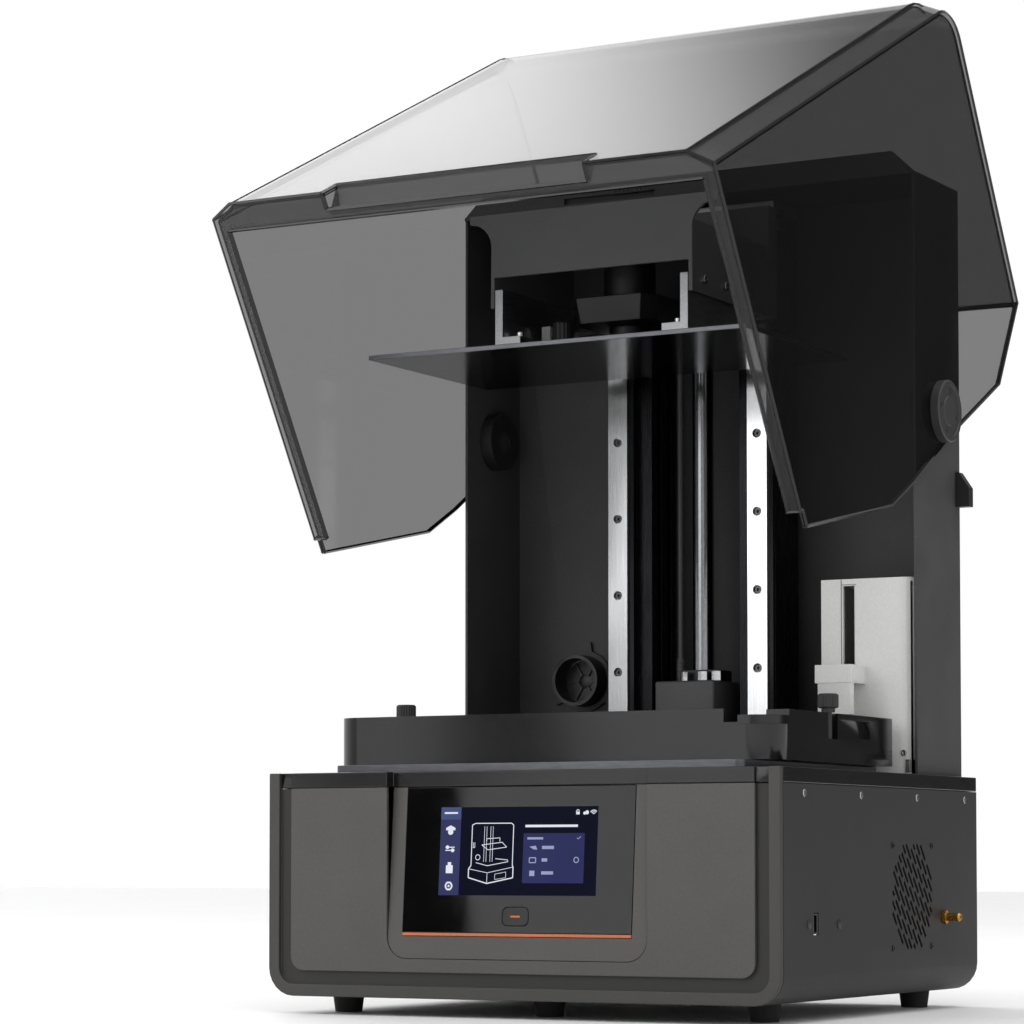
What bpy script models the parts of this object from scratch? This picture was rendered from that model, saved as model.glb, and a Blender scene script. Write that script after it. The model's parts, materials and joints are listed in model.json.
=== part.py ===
"""Resin printer: a desktop mask-screen machine with its smoke cover swung open.

Metres, +Z up, front towards -Y, floor at Z = 0. Driving sizes are in millimetres.
"""

import math

import bmesh
import bpy
from mathutils import Vector

for old in list(bpy.data.objects):
    bpy.data.objects.remove(old)

MM = 0.001
GAP = 0.3

# ---- driving dimensions (mm) ----
HALF_WIDTH = 198.6
FRONT = -175.0
REAR = 176.0
BASE_BOTTOM = 12.6
PLATE_LOW = 159.0
PLATE_TOP = 169.5
CORNER = 20.0
RIM = 8.6
GROOVE = 9.8
SCREEN_HALF = 101.0
SCREEN_LOW = 40.3
SCREEN_BACK = 9.0
FOOT_X = 163.5
FOOT_FRONT = -124.0
FOOT_REAR = 138.0

VAT_HALF = 174.0
VAT_FRONT = -130.0
VAT_REAR = 77.0
VAT_LOW = 175.6
VAT_TOP = 210.0
KNOB_X = 170.6
KNOB_Y = -33.0

TOWER_HALF = 188.5
TOWER_FRONT = 86.0
TOWER_REAR = 172.0
TOWER_TOP = 610.0
HEADER_TOP = 626.0
SHEET = 2.0

RAIL_X = 58.4
RAIL_FRONT = 93.0
RAIL_WIDTH = 16.0
RAIL_TOP = 579.0
HOLE_PITCH = 58.6
HOLE_FIRST = 192.4
PILLAR_FRONT = 108.0
PILLAR_BACK = 150.0
SCREW_Y = 122.0
SCREW_R = 8.0

PLATE_X = 150.0
PLATE_FRONT = -121.0
PLATE_REAR = 51.5
PLATE_Z = 468.3
PLATE_THICK = 3.4
ARM_FRONT = -63.0
ARM_TOP = 577.5

HINGE_Y = 127.0
HINGE_Z = 438.0
OPENING = 58.0
COVER_HALF = 192.4
COVER_RAISED = 175.0
COVER_LOW = 171.0
COVER_WALL = 3.0

FAN_Y = 50.3
FAN_Z = 82.4
ANTENNA_Y = 109.0
ANTENNA_Z = 67.0
ROCKER_Y = 171.0
ROCKER_Z = 76.5
DUCT_X = -126.0
DUCT_Z = 249.5

# Brings the middle of the open machine's outline over the origin.
SHIFT_X = -3.0
SHIFT_Y = -15.0

part_coll = bpy.data.collections.new("resin_printer")
cut_coll = bpy.data.collections.new("cutters")
bpy.context.scene.collection.children.link(part_coll)
bpy.context.scene.collection.children.link(cut_coll)


def paint(name, color, rough, metal=0.0):
    """One Principled material."""
    mat = bpy.data.materials.new(name)
    mat.use_nodes = True
    bsdf = mat.node_tree.nodes["Principled BSDF"]
    bsdf.inputs["Base Color"].default_value = (*color, 1)
    bsdf.inputs["Roughness"].default_value = rough
    bsdf.inputs["Metallic"].default_value = metal
    mat.diffuse_color = (*color, 1)
    return mat


def solid(name, bm, color=None, rough=0.5, metal=0.0, smooth=False):
    """A mesh object from a bmesh in millimetres, in the part's collection."""
    bmesh.ops.recalc_face_normals(bm, faces=bm.faces)
    bmesh.ops.scale(bm, vec=(MM, MM, MM), verts=bm.verts)
    mesh = bpy.data.meshes.new(name)
    bm.to_mesh(mesh)
    bm.free()
    obj = bpy.data.objects.new(name, mesh)
    if color is None:
        cut_coll.objects.link(obj)
        obj.hide_render = True
        obj.display_type = "WIRE"
    else:
        part_coll.objects.link(obj)
        mesh.materials.append(paint(name + "_mat", color, rough, metal))
    if smooth:
        mesh.shade_smooth()
    return obj


def prism_into(bm, points, axis, low, high):
    """Adds a prism: points are the two other axes in X, Y, Z order."""
    k = "xyz".index(axis)

    def at(point, height):
        place = list(point)
        place.insert(k, height)
        return place

    near = [bm.verts.new(at(p, low)) for p in points]
    far = [bm.verts.new(at(p, high)) for p in points]
    bm.faces.new(near)
    bm.faces.new(far)
    for i in range(len(points)):
        j = (i + 1) % len(points)
        bm.faces.new((near[i], near[j], far[j], far[i]))


def prism(name, points, axis, low, high, *look, **more):
    """One prism as its own object."""
    bm = bmesh.new()
    prism_into(bm, points, axis, low, high)
    return solid(name, bm, *look, **more)


def rect(x0, x1, y0, y1):
    return [(x0, y0), (x1, y0), (x1, y1), (x0, y1)]


def box(name, low, high, *look, **more):
    """A box between two corners."""
    shape = rect(low[0], high[0], low[1], high[1])
    return prism(name, shape, "z", low[2], high[2], *look, **more)


def boxes(name, corners, *look, **more):
    """Several separate boxes in one object, for cutters."""
    bm = bmesh.new()
    for low, high in corners:
        prism_into(bm, rect(low[0], high[0], low[1], high[1]), "z", low[2], high[2])
    return solid(name, bm, *look, **more)


def circle(cx, cy, r, count=32, start=0.0):
    """Points of a circle."""
    turns = [start + 2 * math.pi * i / count for i in range(count)]
    return [(cx + r * math.cos(t), cy + r * math.sin(t)) for t in turns]


def arc(cx, cy, r, first, last, count=6):
    """Points of an arc, angles in degrees."""
    steps = [math.radians(first + (last - first) * i / count) for i in range(count + 1)]
    return [(cx + r * math.cos(t), cy + r * math.sin(t)) for t in steps]


def rounded(x0, x1, y0, y1, r, count=5):
    """A rectangle with four round corners."""
    return (
        arc(x1 - r, y0 + r, r, -90, 0, count)
        + arc(x1 - r, y1 - r, r, 0, 90, count)
        + arc(x0 + r, y1 - r, r, 90, 180, count)
        + arc(x0 + r, y0 + r, r, 180, 270, count)
    )


def tray(half, low, top, r, count=6):
    """A rectangle with only its two lower corners round."""
    return (
        arc(half - r, low + r, r, -90, 0, count)
        + [(half, top), (-half, top)]
        + arc(-half + r, low + r, r, 180, 270, count)
    )


def lathe(name, axis, centre, profile, *look, count=32, **more):
    """A closed turned shape: profile is (position along the axis, radius)."""
    bm = bmesh.new()
    k = "xyz".index(axis)
    rings = []
    for height, radius in profile:
        if radius == 0:
            place = list(centre)
            place.insert(k, height)
            rings.append([bm.verts.new(place)])
            continue
        ring = []
        for a, b in circle(centre[0], centre[1], radius, count):
            place = [a, b]
            place.insert(k, height)
            ring.append(bm.verts.new(place))
        rings.append(ring)
    closed = profile[0][1] != 0
    pairs = list(zip(rings, rings[1:]))
    if closed:
        pairs.append((rings[-1], rings[0]))
    for one, two in pairs:
        for i in range(count):
            j = (i + 1) % count
            face = [one[i % len(one)], one[j % len(one)], two[j % len(two)], two[i % len(two)]]
            bm.faces.new(list(dict.fromkeys(face)))
    return solid(name, bm, *look, **more)


def boolean(target, tool, kind):
    mod = target.modifiers.new(kind.lower() + "_" + tool.name, "BOOLEAN")
    mod.operation = kind
    mod.object = tool
    mod.solver = "EXACT"
    return target


def cut(target, *tools):
    for tool in tools:
        boolean(target, tool, "DIFFERENCE")
    return target


def join(target, *tools):
    for tool in tools:
        boolean(target, tool, "UNION")
    return target


def soften(obj, width, segments=2):
    """Rounds the sharp edges."""
    mod = obj.modifiers.new("round", "BEVEL")
    mod.width = width * MM
    mod.segments = segments
    mod.limit_method = "ANGLE"
    mod.angle_limit = math.radians(40)
    return obj


def pivot(parent, *objects):
    """Moves each object's origin to the parent empty, with its cutters."""
    for obj in objects:
        tools = [m.object for m in obj.modifiers if m.type == "BOOLEAN"]
        for item in [obj, *tools]:
            for vert in item.data.vertices:
                vert.co -= parent.location
            item.parent = parent


def empty(name, x, y, z, parent=None):
    """An axis empty; a child keeps its world place."""
    obj = bpy.data.objects.new(name, None)
    obj.location = Vector((x, y, z)) * MM
    part_coll.objects.link(obj)
    if parent:
        obj.parent = parent
    return obj


DARK = (0.055, 0.055, 0.058)
GREY = (0.11, 0.108, 0.104)
BLACK = (0.012, 0.012, 0.013)
STEEL = (0.62, 0.62, 0.63)
ALU = (0.35, 0.35, 0.36)
WHITE = (0.82, 0.82, 0.81)
ORANGE = (0.75, 0.2, 0.06)
GREEN = (0.02, 0.12, 0.05)


def inside_octagon(y, z):
    """True within the grille outline round the fan centre."""
    return abs(y) <= 36.5 and abs(z) <= 37 and abs(y) / 36.5 + abs(z) / 37 <= 1.47


def grille_slots(name, side):
    """Slanted dashes filling an octagon on one side wall."""
    bm = bmesh.new()
    pitch, dash, gap, width = 5.0, 14.0, 4.0, 2.7
    slant = math.radians(-50)
    along = (math.cos(slant), math.sin(slant))
    across = (-along[1], along[0])
    for row in range(-9, 10):
        middle = [row * pitch * a for a in across]
        spots = [i * 0.5 for i in range(-110, 111)]
        held = [t for t in spots if inside_octagon(*(m + t * a for m, a in zip(middle, along)))]
        if not held:
            continue
        first = -99.0 + (row % 2) * (dash + gap) / 2
        while first < held[-1]:
            start, end = max(first, held[0]), min(first + dash, held[-1])
            first += dash + gap
            if end - start < 3:
                continue
            corners = []
            for t, w in ((start, -1), (end, -1), (end, 1), (start, 1)):
                y = FAN_Y + middle[0] + t * along[0] + w * width / 2 * across[0]
                z = FAN_Z + middle[1] + t * along[1] + w * width / 2 * across[1]
                corners.append((y, z))
            prism_into(bm, corners, "x", side * HALF_WIDTH - 5, side * HALF_WIDTH + 5)
    return solid(name, bm)


def base_shell():
    """The folded sheet round the bottom and both sides."""
    outer = tray(HALF_WIDTH, BASE_BOTTOM, PLATE_LOW - GAP, CORNER)
    obj = prism("base_shell", outer, "y", FRONT + 4.7, REAR, DARK, 0.55, 0.4)
    inner = tray(HALF_WIDTH - SHEET, BASE_BOTTOM + SHEET, PLATE_LOW + 9, CORNER - SHEET)
    hollow = prism("cut_base_hollow", inner, "y", FRONT - 9, REAR + 9)
    usb = box("cut_usb", (190, -122.3, 58.3), (210, -114.3, 73.1))
    antenna = prism("cut_antenna", circle(ANTENNA_Y, ANTENNA_Z, 3.5, 20), "x", 190, 210)
    cut(obj, hollow, grille_slots("cut_grille_right", 1), grille_slots("cut_grille_left", -1))
    return cut(obj, usb, antenna)


def rear_panel():
    """Back plate inside the shell, with inlet cut-out and slots."""
    shape = tray(HALF_WIDTH - SHEET - GAP, BASE_BOTTOM + SHEET + GAP, PLATE_LOW - 0.5, 17.7)
    obj = prism("rear_panel", shape, "y", 171.5, 173.5, DARK, 0.55, 0.4)
    inlet = box("cut_inlet", (-144.3, 160, 40.7), (-95.7, 185, 89.3))
    slots = [((-40 + 0, 160, 50 + 12 * i), (120, 185, 54 + 12 * i)) for i in range(6)]
    return cut(obj, inlet, boxes("cut_rear_slots", slots))


def front_frame():
    """U-shaped rim with the sunk groove behind it."""
    outer = tray(HALF_WIDTH, BASE_BOTTOM, PLATE_TOP, CORNER)
    obj = prism("front_frame", outer, "y", FRONT, FRONT + 4.4, GREY, 0.5, 0.3)
    inner = tray(HALF_WIDTH - RIM, BASE_BOTTOM + RIM, PLATE_TOP + 9, CORNER - RIM)
    sunk = prism("cut_groove", inner, "y", FRONT - 9, FRONT + 3)
    window = box("cut_frame_window", (-102, -190, 36), (102, -150, 190))
    top = box("cut_frame_top", (-(HALF_WIDTH - RIM), -190, 158.5), (HALF_WIDTH - RIM, -150, 190))
    return cut(obj, sunk, window, top)


def front_panel():
    """Inner front sheet with the notch that takes the screen."""
    half = HALF_WIDTH - RIM - GROOVE
    outer = tray(half, 30.6, PLATE_LOW - GAP, 10)
    obj = prism("front_panel", outer, "y", FRONT, FRONT + 2.8, GREY, 0.5, 0.3)
    notch = tray(SCREEN_HALF, SCREEN_LOW - GAP, 190, 15)
    return cut(obj, prism("cut_notch", notch, "y", -190, -160))


SCREEN_FOOT = Vector((FRONT, SCREEN_LOW))
SCREEN_UP = Vector((SCREEN_BACK, PLATE_LOW - GAP - SCREEN_LOW)).normalized()
SCREEN_OUT = Vector((-SCREEN_UP.y, SCREEN_UP.x))


def on_screen(up, out):
    """A (Y, Z) point given along and out of the leaning screen."""
    spot = SCREEN_FOOT + SCREEN_UP * up + SCREEN_OUT * out
    return (spot.x, spot.y)


def screen_band(up0, up1, out0, out1):
    return [on_screen(up0, out0), on_screen(up1, out0), on_screen(up1, out1), on_screen(up0, out1)]


def screen_hole(name, half_x, half_up, r, out0, out1, *look, **more):
    """A rounded block square to the leaning screen, centred on the power button."""
    bm = bmesh.new()
    shape = rounded(-half_x, half_x, BUTTON_UP - half_up, BUTTON_UP + half_up, r)
    rings = []
    for out in (out0, out1):
        ring = []
        for x, up in shape:
            y, z = on_screen(up, out)
            ring.append(bm.verts.new((x, y, z)))
        rings.append(ring)
        bm.faces.new(ring)
    for i in range(len(shape)):
        j = (i + 1) % len(shape)
        bm.faces.new((rings[0][i], rings[0][j], rings[1][j], rings[1][i]))
    return solid(name, bm, *look, **more)


BUTTON_UP = 29.5


def screen_parts():
    """Leaning housing, touch glass, orange strip and power button."""
    block = tray(SCREEN_HALF - GAP, SCREEN_LOW, PLATE_LOW - GAP, 14.7)
    housing = prism("screen_housing", block, "y", FRONT - 2, FRONT + 22, GREY, 0.45, 0.2)
    front_off = prism("cut_screen_front", screen_band(-60, 190, 0, 60), "x", -150, 150)
    back_off = prism("cut_screen_back", screen_band(-60, 190, -60, -9), "x", -150, 150)
    pocket = prism("cut_glass_pocket", screen_band(18.1, 190, -2.2, 9), "x", -89.2, 89.2)
    strip_cut = prism("cut_strip", screen_band(15.6, 18.2, -1.2, 9), "x", -89.2, 89.2)
    hole = screen_hole("cut_button_body", 10.4, 6.6, 4.2, -30, 20)
    cut(housing, front_off, back_off, pocket, strip_cut, hole)
    glass = prism(
        "touch_glass", screen_band(18.4, 118.2, -1.9, 0.3), "x", -88.9, 88.9, BLACK, 0.08
    )
    cut(glass, screen_hole("cut_button_glass", 10.4, 6.6, 4.2, -30, 20))
    prism("accent_strip", screen_band(15.9, 17.9, -0.9, 0.5), "x", -88.9, 88.9, ORANGE, 0.4)
    push = screen_hole("power_button", 10.0, 6.2, 4.0, -8, 0.4, BLACK, 0.2)
    axis = empty("button_axis", 0, on_screen(BUTTON_UP, 0)[0], on_screen(BUTTON_UP, 0)[1])
    pivot(axis, push)


def top_plate():
    """Glossy top casting with the stepped front lip and the screen window."""
    rim_in = HALF_WIDTH - RIM
    lip = rim_in - GROOVE
    side = [(HALF_WIDTH, REAR), (HALF_WIDTH, -170.2), (rim_in - GAP, -170.2)]
    side += [(rim_in - GAP, -172.4), (lip, -172.4), (lip, FRONT)]
    side += [(SCREEN_HALF, FRONT), (SCREEN_HALF, -166.4)]
    shape = side + [(-x, y) for x, y in reversed(side)]
    obj = prism("top_plate", shape, "z", PLATE_LOW, PLATE_TOP, BLACK, 0.15)
    under = box("cut_plate_under", (-196, -163, 150), (196, 172, 166))
    window = box("cut_plate_window", (-151.5, -119, 150), (151.5, 49, 190))
    return cut(obj, under, window)


def screen_stack():
    """Raised seat, mask screen and the light engine below it."""
    seat = rounded(-160, 160, -150, 82, 6, 3)
    frame = prism("lcd_seat", seat, "z", PLATE_TOP + GAP, 175.3, ALU, 0.4, 0.6)
    cut(frame, box("cut_lcd_window", (-150, -117, 150), (150, 47, 190)))
    box("mask_screen", (-149.7, -116.7, 170.6), (149.7, 46.7, 174.8), BLACK, 0.05)
    bm = bmesh.new()
    levels = [(60, 60, -85, 15), (157, 148, -114, 44)]
    rings = []
    for inset in (0.0, 4.0):
        for z, half, y0, y1 in levels:
            lift = inset if z == 60 else 0
            corners = rect(-half + inset, half - inset, y0 + inset, y1 - inset)
            rings.append([bm.verts.new((x, y, z + lift)) for x, y in corners])
    for one, two in ((0, 1), (2, 3), (1, 3)):
        for i in range(4):
            j = (i + 1) % 4
            bm.faces.new((rings[one][i], rings[one][j], rings[two][j], rings[two][i]))
    bm.faces.new(rings[0])
    bm.faces.new(rings[2])
    solid("light_engine", bm, ALU, 0.5, 0.7)


def electronics():
    """Main board, power supply, inlet, socket and connectors."""
    board = box("mainboard", (60, -140, 18), (165, -20, 19.6), GREEN, 0.5)
    chips = [((80, -90, 19), (110, -60, 32)), ((120, -120, 19), (150, -105, 30))]
    join(board, boxes("add_chips", chips))
    box("power_supply", (-180, -140, 17), (-80, 40, 55), ALU, 0.4, 0.8)
    port = box("usb_port", (176, -121.8, 58.8), (198.2, -114.8, 72.6), STEEL, 0.3, 1.0)
    cut(port, boxes("cut_usb_port", [((182, -120.7, 60), (205, -115.9, 71.4))]))
    wall = HALF_WIDTH + GAP
    profile = [(188, 0), (188, 3.1), (wall, 3.1), (wall, 5.2), (wall + 2.3, 5.2)]
    profile += [(wall + 2.3, 3.1), (212, 3.1), (212, 0)]
    brass = (0.75, 0.5, 0.18)
    lathe(
        "antenna_connector", "x", (ANTENNA_Y, ANTENNA_Z), profile, brass, 0.3, 1.0, count=20
    )
    inlet = box("inlet_socket", (-144, 150, 41), (-96, 173.9, 89), BLACK, 0.5)
    flange = box("add_inlet_flange", (-150, 173.8, 35), (-90, 176.6, 95))
    mouth = box("cut_inlet_mouth", (-134, 158, 45), (-106, 185, 62))
    switch = box("cut_switch", (-134, 160, 68.7), (-106, 185, 84.3))
    join(inlet, flange)
    cut(inlet, mouth, switch)
    pins = [((x - 1.2, 150.5, z - 3), (x + 1.2, 172, z + 3)) for x, z in ((-127, 52), (-113, 52))]
    pins += [((-121.2, 150.5, 52), (-118.8, 172, 58))]
    join(inlet, boxes("add_pins", pins))


def rocker_switch():
    """Rocker tipped one way about a cross axis inside the inlet block."""
    tip = math.radians(7)
    shape = []
    for y, z in ((-3, -5.5), (6.5, -6.4), (5.2, 0), (6.5, 6.4), (-3, 5.5)):
        turned_y = y * math.cos(tip) - z * math.sin(tip)
        turned_z = y * math.sin(tip) + z * math.cos(tip)
        shape.append((ROCKER_Y + turned_y, ROCKER_Z + turned_z))
    rocker = prism("rocker_switch", shape, "x", -133.4, -106.6, BLACK, 0.4)
    pivot(empty("rocker_axis", -120, ROCKER_Y, ROCKER_Z), rocker)


def fan():
    """Square fan frame behind the grille, and its spinning rotor."""
    shape = rounded(FAN_Y - 40, FAN_Y + 40, FAN_Z - 40, FAN_Z + 40, 5, 3)
    frame = prism("fan_frame", shape, "x", 171, 196.2, BLACK, 0.5)
    bore = prism("cut_fan_bore", circle(FAN_Y, FAN_Z, 38), "x", 174, 210)
    bm = bmesh.new()
    for k in range(4):
        a0, a1 = 90 * k + 5, 90 * k + 85
        shape = arc(FAN_Y, FAN_Z, 37, a0, a1, 8) + arc(FAN_Y, FAN_Z, 19, a1 - 5, a0 + 5, 5)
        prism_into(bm, shape, "x", 160, 180)
    cut(frame, bore, solid("cut_fan_back", bm))
    hub = prism("fan_rotor", circle(FAN_Y, FAN_Z, 17), "x", 175, 194, BLACK, 0.4)
    bm = bmesh.new()
    for k in range(7):
        t = 2 * math.pi * k / 7
        out = Vector((math.cos(t), math.sin(t)))
        across = Vector((-out.y, out.x))
        corners = []
        for r, x, s in ((15, 177, -5), (15, 191, 5), (36, 191, 8), (36, 177, -8)):
            corners.append((x, Vector((FAN_Y, FAN_Z)) + out * r + across * s))
        low = [bm.verts.new((x - 0.8, p.x, p.y)) for x, p in corners]
        high = [bm.verts.new((x + 0.8, p.x, p.y)) for x, p in corners]
        bm.faces.new(low)
        bm.faces.new(high)
        for i in range(4):
            j = (i + 1) % 4
            bm.faces.new((low[i], low[j], high[j], high[i]))
    join(hub, solid("add_blades", bm))
    pivot(empty("fan_axis", 185, FAN_Y, FAN_Z), hub)


def feet():
    """Six turned rubber feet."""
    profile = [(0, 0), (0, 9.6), (BASE_BOTTOM - GAP, 11.3), (BASE_BOTTOM - GAP, 0)]
    for row, y in (("front", FOOT_FRONT), ("rear", FOOT_REAR)):
        for side, x in (("left", -FOOT_X), ("middle", 0), ("right", FOOT_X)):
            lathe(f"foot_{row}_{side}", "z", (x, y), profile, BLACK, 0.8, count=24)


def tower():
    """Folded column sheet with its roof, header strip and openings."""
    h, t = TOWER_HALF, SHEET
    shape = [(-h, TOWER_FRONT), (-h, TOWER_REAR), (h, TOWER_REAR), (h, TOWER_FRONT)]
    shape += [(h - t, TOWER_FRONT), (h - t, TOWER_REAR - t)]
    shape += [(-h + t, TOWER_REAR - t), (-h + t, TOWER_FRONT)]
    obj = prism("tower_shell", shape, "z", PLATE_TOP + GAP, TOWER_TOP, DARK, 0.6, 0.3)
    roof = box("add_roof", (-h, TOWER_FRONT - 1, TOWER_TOP - t), (h, TOWER_REAR, TOWER_TOP))
    strip = [(-h, TOWER_TOP - 1.5), (h, TOWER_TOP - 1.5), (h, TOWER_TOP)]
    strip += [(h - 17, HEADER_TOP), (-h + 17, HEADER_TOP), (-h, TOWER_TOP)]
    header = prism("add_header", strip, "y", TOWER_FRONT - 1.5, TOWER_FRONT + 0.5)
    slot = box("cut_header_slot", (-100, 80, 612.5), (-22, 90, 617))
    duct = prism("cut_duct_hole", circle(DUCT_X, DUCT_Z, 17.4), "y", 160, 180)
    pins = prism("cut_pin_holes", circle(HINGE_Y, HINGE_Z, 8.2, 24), "x", -210, 210)
    join(obj, roof, header)
    return cut(obj, slot, duct, pins)


def pillar(side):
    """Extruded upright with two slots in its inner face."""
    x_in, x_out = 36.7, 66.5
    inner = [(x_in, PILLAR_FRONT)]
    for y in (118.0, 135.0):
        inner += [(x_in, y), (x_in + 5, y), (x_in + 5, y + 6), (x_in, y + 6)]
    inner += [(x_in, PILLAR_BACK), (x_out, PILLAR_BACK), (x_out, PILLAR_FRONT)]
    shape = [(side * x, y) for x, y in inner]
    name = "pillar_right" if side > 0 else "pillar_left"
    prism(name, shape, "z", PLATE_TOP + GAP, 595, BLACK, 0.3, 0.6)


def rail(side):
    """Ground guide rail with waisted flanks and sunk screw holes."""
    w = RAIL_WIDTH / 2
    y0, y1 = RAIL_FRONT, PILLAR_FRONT - GAP
    half = [(-w, y0), (-w, y0 + 4), (-w + 2.2, y0 + 6), (-w + 2.2, y0 + 9), (-w, y0 + 11)]
    half += [(-w, y1)]
    shape = half + [(-x, y) for x, y in reversed(half)]
    shape = [(side * RAIL_X + x, y) for x, y in shape]
    name = "rail_right" if side > 0 else "rail_left"
    obj = prism(name, shape, "z", PLATE_TOP + GAP, RAIL_TOP, STEEL, 0.2, 1.0)
    bm = bmesh.new()
    for k in range(7):
        z = HOLE_FIRST + k * HOLE_PITCH
        prism_into(bm, circle(side * RAIL_X, z, 3.6, 16), "y", y0 - 5, y0 + 5)
    return cut(obj, solid(name.replace("rail", "cut_rail_holes"), bm))


def column_fittings():
    """Motor, bearings, cable tube, duct, stop and hinge bosses."""
    motor = box("motor_block", (-24.5, 88, PLATE_TOP + GAP), (24.5, 140, 243), DARK, 0.5)
    soften(motor, 1.5)
    bore = circle(0, SCREW_Y, SCREW_R + 0.4, 24)
    low = box("lower_bearing", (-12, 108, 243.3), (17, 136, 252), STEEL, 0.3, 1.0)
    cut(low, prism("cut_low_bore", bore, "z", 230, 260))
    top = box("upper_bearing", (-66, 108, 595.3), (66, 150, 604), ALU, 0.4, 0.8)
    cut(top, prism("cut_top_bore", bore, "z", 580, 620))
    profile = [(243.3, 0)]
    for rib in range(6):
        z = 243.3 + rib * 3
        profile += [(z, 3.2), (z + 1.8, 3.2), (z + 1.8, 2.6), (z + 3, 2.6)]
    profile += [(261.3, 2.0), (594.5, 2.0), (594.5, 0)]
    lathe("cable_tube", "z", (-16, 115), profile, BLACK, 0.6, count=16)
    tab = [(50, 585.4), (60, 585.4), (72.4, 579.6), (72.4, 587), (67, 591.4), (50, 591.4)]
    prism("limit_tab", tab, "y", 97, 107.5, ALU, 0.4, 0.8)
    x0 = TOWER_HALF + GAP
    stop = [(x0, 371), (199.6, 371), (199.6, 385), (191.5, 397), (x0, 397)]
    prism("cover_stop", stop, "y", 163, 171, BLACK, 0.6)


def air_duct():
    """Warm-air outlet on the column's back wall, with three ears."""
    shape = circle(DUCT_X, DUCT_Z, 24, 40)
    obj = prism("air_duct", shape, "y", 166.5, TOWER_REAR - SHEET - GAP, BLACK, 0.5)
    tube = prism("add_duct_tube", circle(DUCT_X, DUCT_Z, 20.2, 40), "y", 149.5, 169)
    bm = bmesh.new()
    for angle in (88, 208, 328):
        t = math.radians(angle)
        out = Vector((math.cos(t), math.sin(t)))
        across = Vector((-out.y, out.x))
        base = Vector((DUCT_X, DUCT_Z))
        ear = [base + out * r + across * s for r, s in ((20, -6), (31, -4), (31, 4), (20, 6))]
        prism_into(bm, [(p.x, p.y) for p in ear], "y", 167, 169.4)
    join(obj, tube, solid("add_duct_ears", bm))
    return cut(obj, prism("cut_duct_bore", circle(DUCT_X, DUCT_Z, 17.4, 40), "y", 140, 180))


def hinge_boss(side):
    """Bored friction disc inside the column wall."""
    x0, x1 = TOWER_HALF - SHEET - GAP, 176.0
    profile = [(side * x0, 8.0), (side * x0, 22.5), (side * x1, 22.5), (side * x1, 8.0)]
    name = "hinge_boss_right" if side > 0 else "hinge_boss_left"
    lathe(name, "x", (HINGE_Y, HINGE_Z), profile, BLACK, 0.5)


def sensor():
    """White housing with its slot, and the slider that rides in it."""
    shape = [(111.5, 90), (173, 90)] + arc(173, 102, 12, -80, 0, 5) + [(185, 150), (111.5, 150)]
    obj = prism("sensor_housing", shape, "z", PLATE_TOP + GAP, 314, WHITE, 0.4)
    hollow = box("cut_sensor_hollow", (114.5, 93, 150), (182, 170, 311))
    slot = box("cut_sensor_slot", (128.8, 80, 236), (138, 100, 309))
    foot = box("cut_sensor_foot", (181, 80, 160), (200, 108, 181))
    cut(obj, hollow, slot, foot)
    slide = box("sensor_slider", (118.5, 62, 236.6), (147, 89.5, 249.8), WHITE, 0.4)
    low = box("add_slider_low", (120.5, 62.6, 213.5), (146.4, 69, 240))
    neck = box("add_slider_neck", (129.2, 85, 238), (137.6, 98, 248.5))
    join(slide, low, neck)
    pivot(empty("sensor_axis", 133.4, 90, 242.3), slide)


def cover_outline(front, top, radius):
    """Closed side outline (Y, Z), with its front and top pushed out and a round crown."""
    lean = Vector((47.7, 422)).normalized()
    out = Vector((-lean.y, lean.x))
    slope = Vector((245, 5)).normalized()
    up = Vector((-slope.y, slope.x))
    foot = Vector((-173, COVER_LOW)) + out * front
    foot -= lean * ((foot.y - COVER_LOW) / lean.y)
    rear_top = Vector((124, 630)) + up * top
    across = lean.x * slope.y - lean.y * slope.x
    gap = rear_top - foot
    corner = foot + lean * ((gap.x * slope.y - gap.y * slope.x) / across)
    half_turn = lean.angle(slope) / 2
    centre = corner + (slope - lean).normalized() * radius / math.cos(half_turn)
    crown = []
    for i in range(9):
        turn = half_turn * (i / 4 - 1)
        ray = (lean - slope).normalized()
        bent = Vector(
            (
                ray.x * math.cos(turn) + ray.y * math.sin(turn),
                ray.y * math.cos(turn) - ray.x * math.sin(turn),
            )
        )
        spot = centre + bent * radius
        crown.append((spot.x, spot.y))
    rest = [(161, 558), (150, 440), (148, 363), (144, 317), (87, COVER_LOW)]
    return [(foot.x, foot.y)] + crown + [(rear_top.x, rear_top.y)] + rest


def loft(name, stations, *look, **more):
    """Joins equal (Y, Z) outlines at several X places into one solid."""
    bm = bmesh.new()
    rings = [[bm.verts.new((x, y, z)) for y, z in shape] for x, shape in stations]
    for one, two in zip(rings, rings[1:]):
        for i in range(len(one)):
            j = (i + 1) % len(one)
            bm.faces.new((one[i], one[j], two[j], two[i]))
    bm.faces.new(rings[0])
    bm.faces.new(rings[-1])
    return solid(name, bm, *look, **more)


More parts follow.
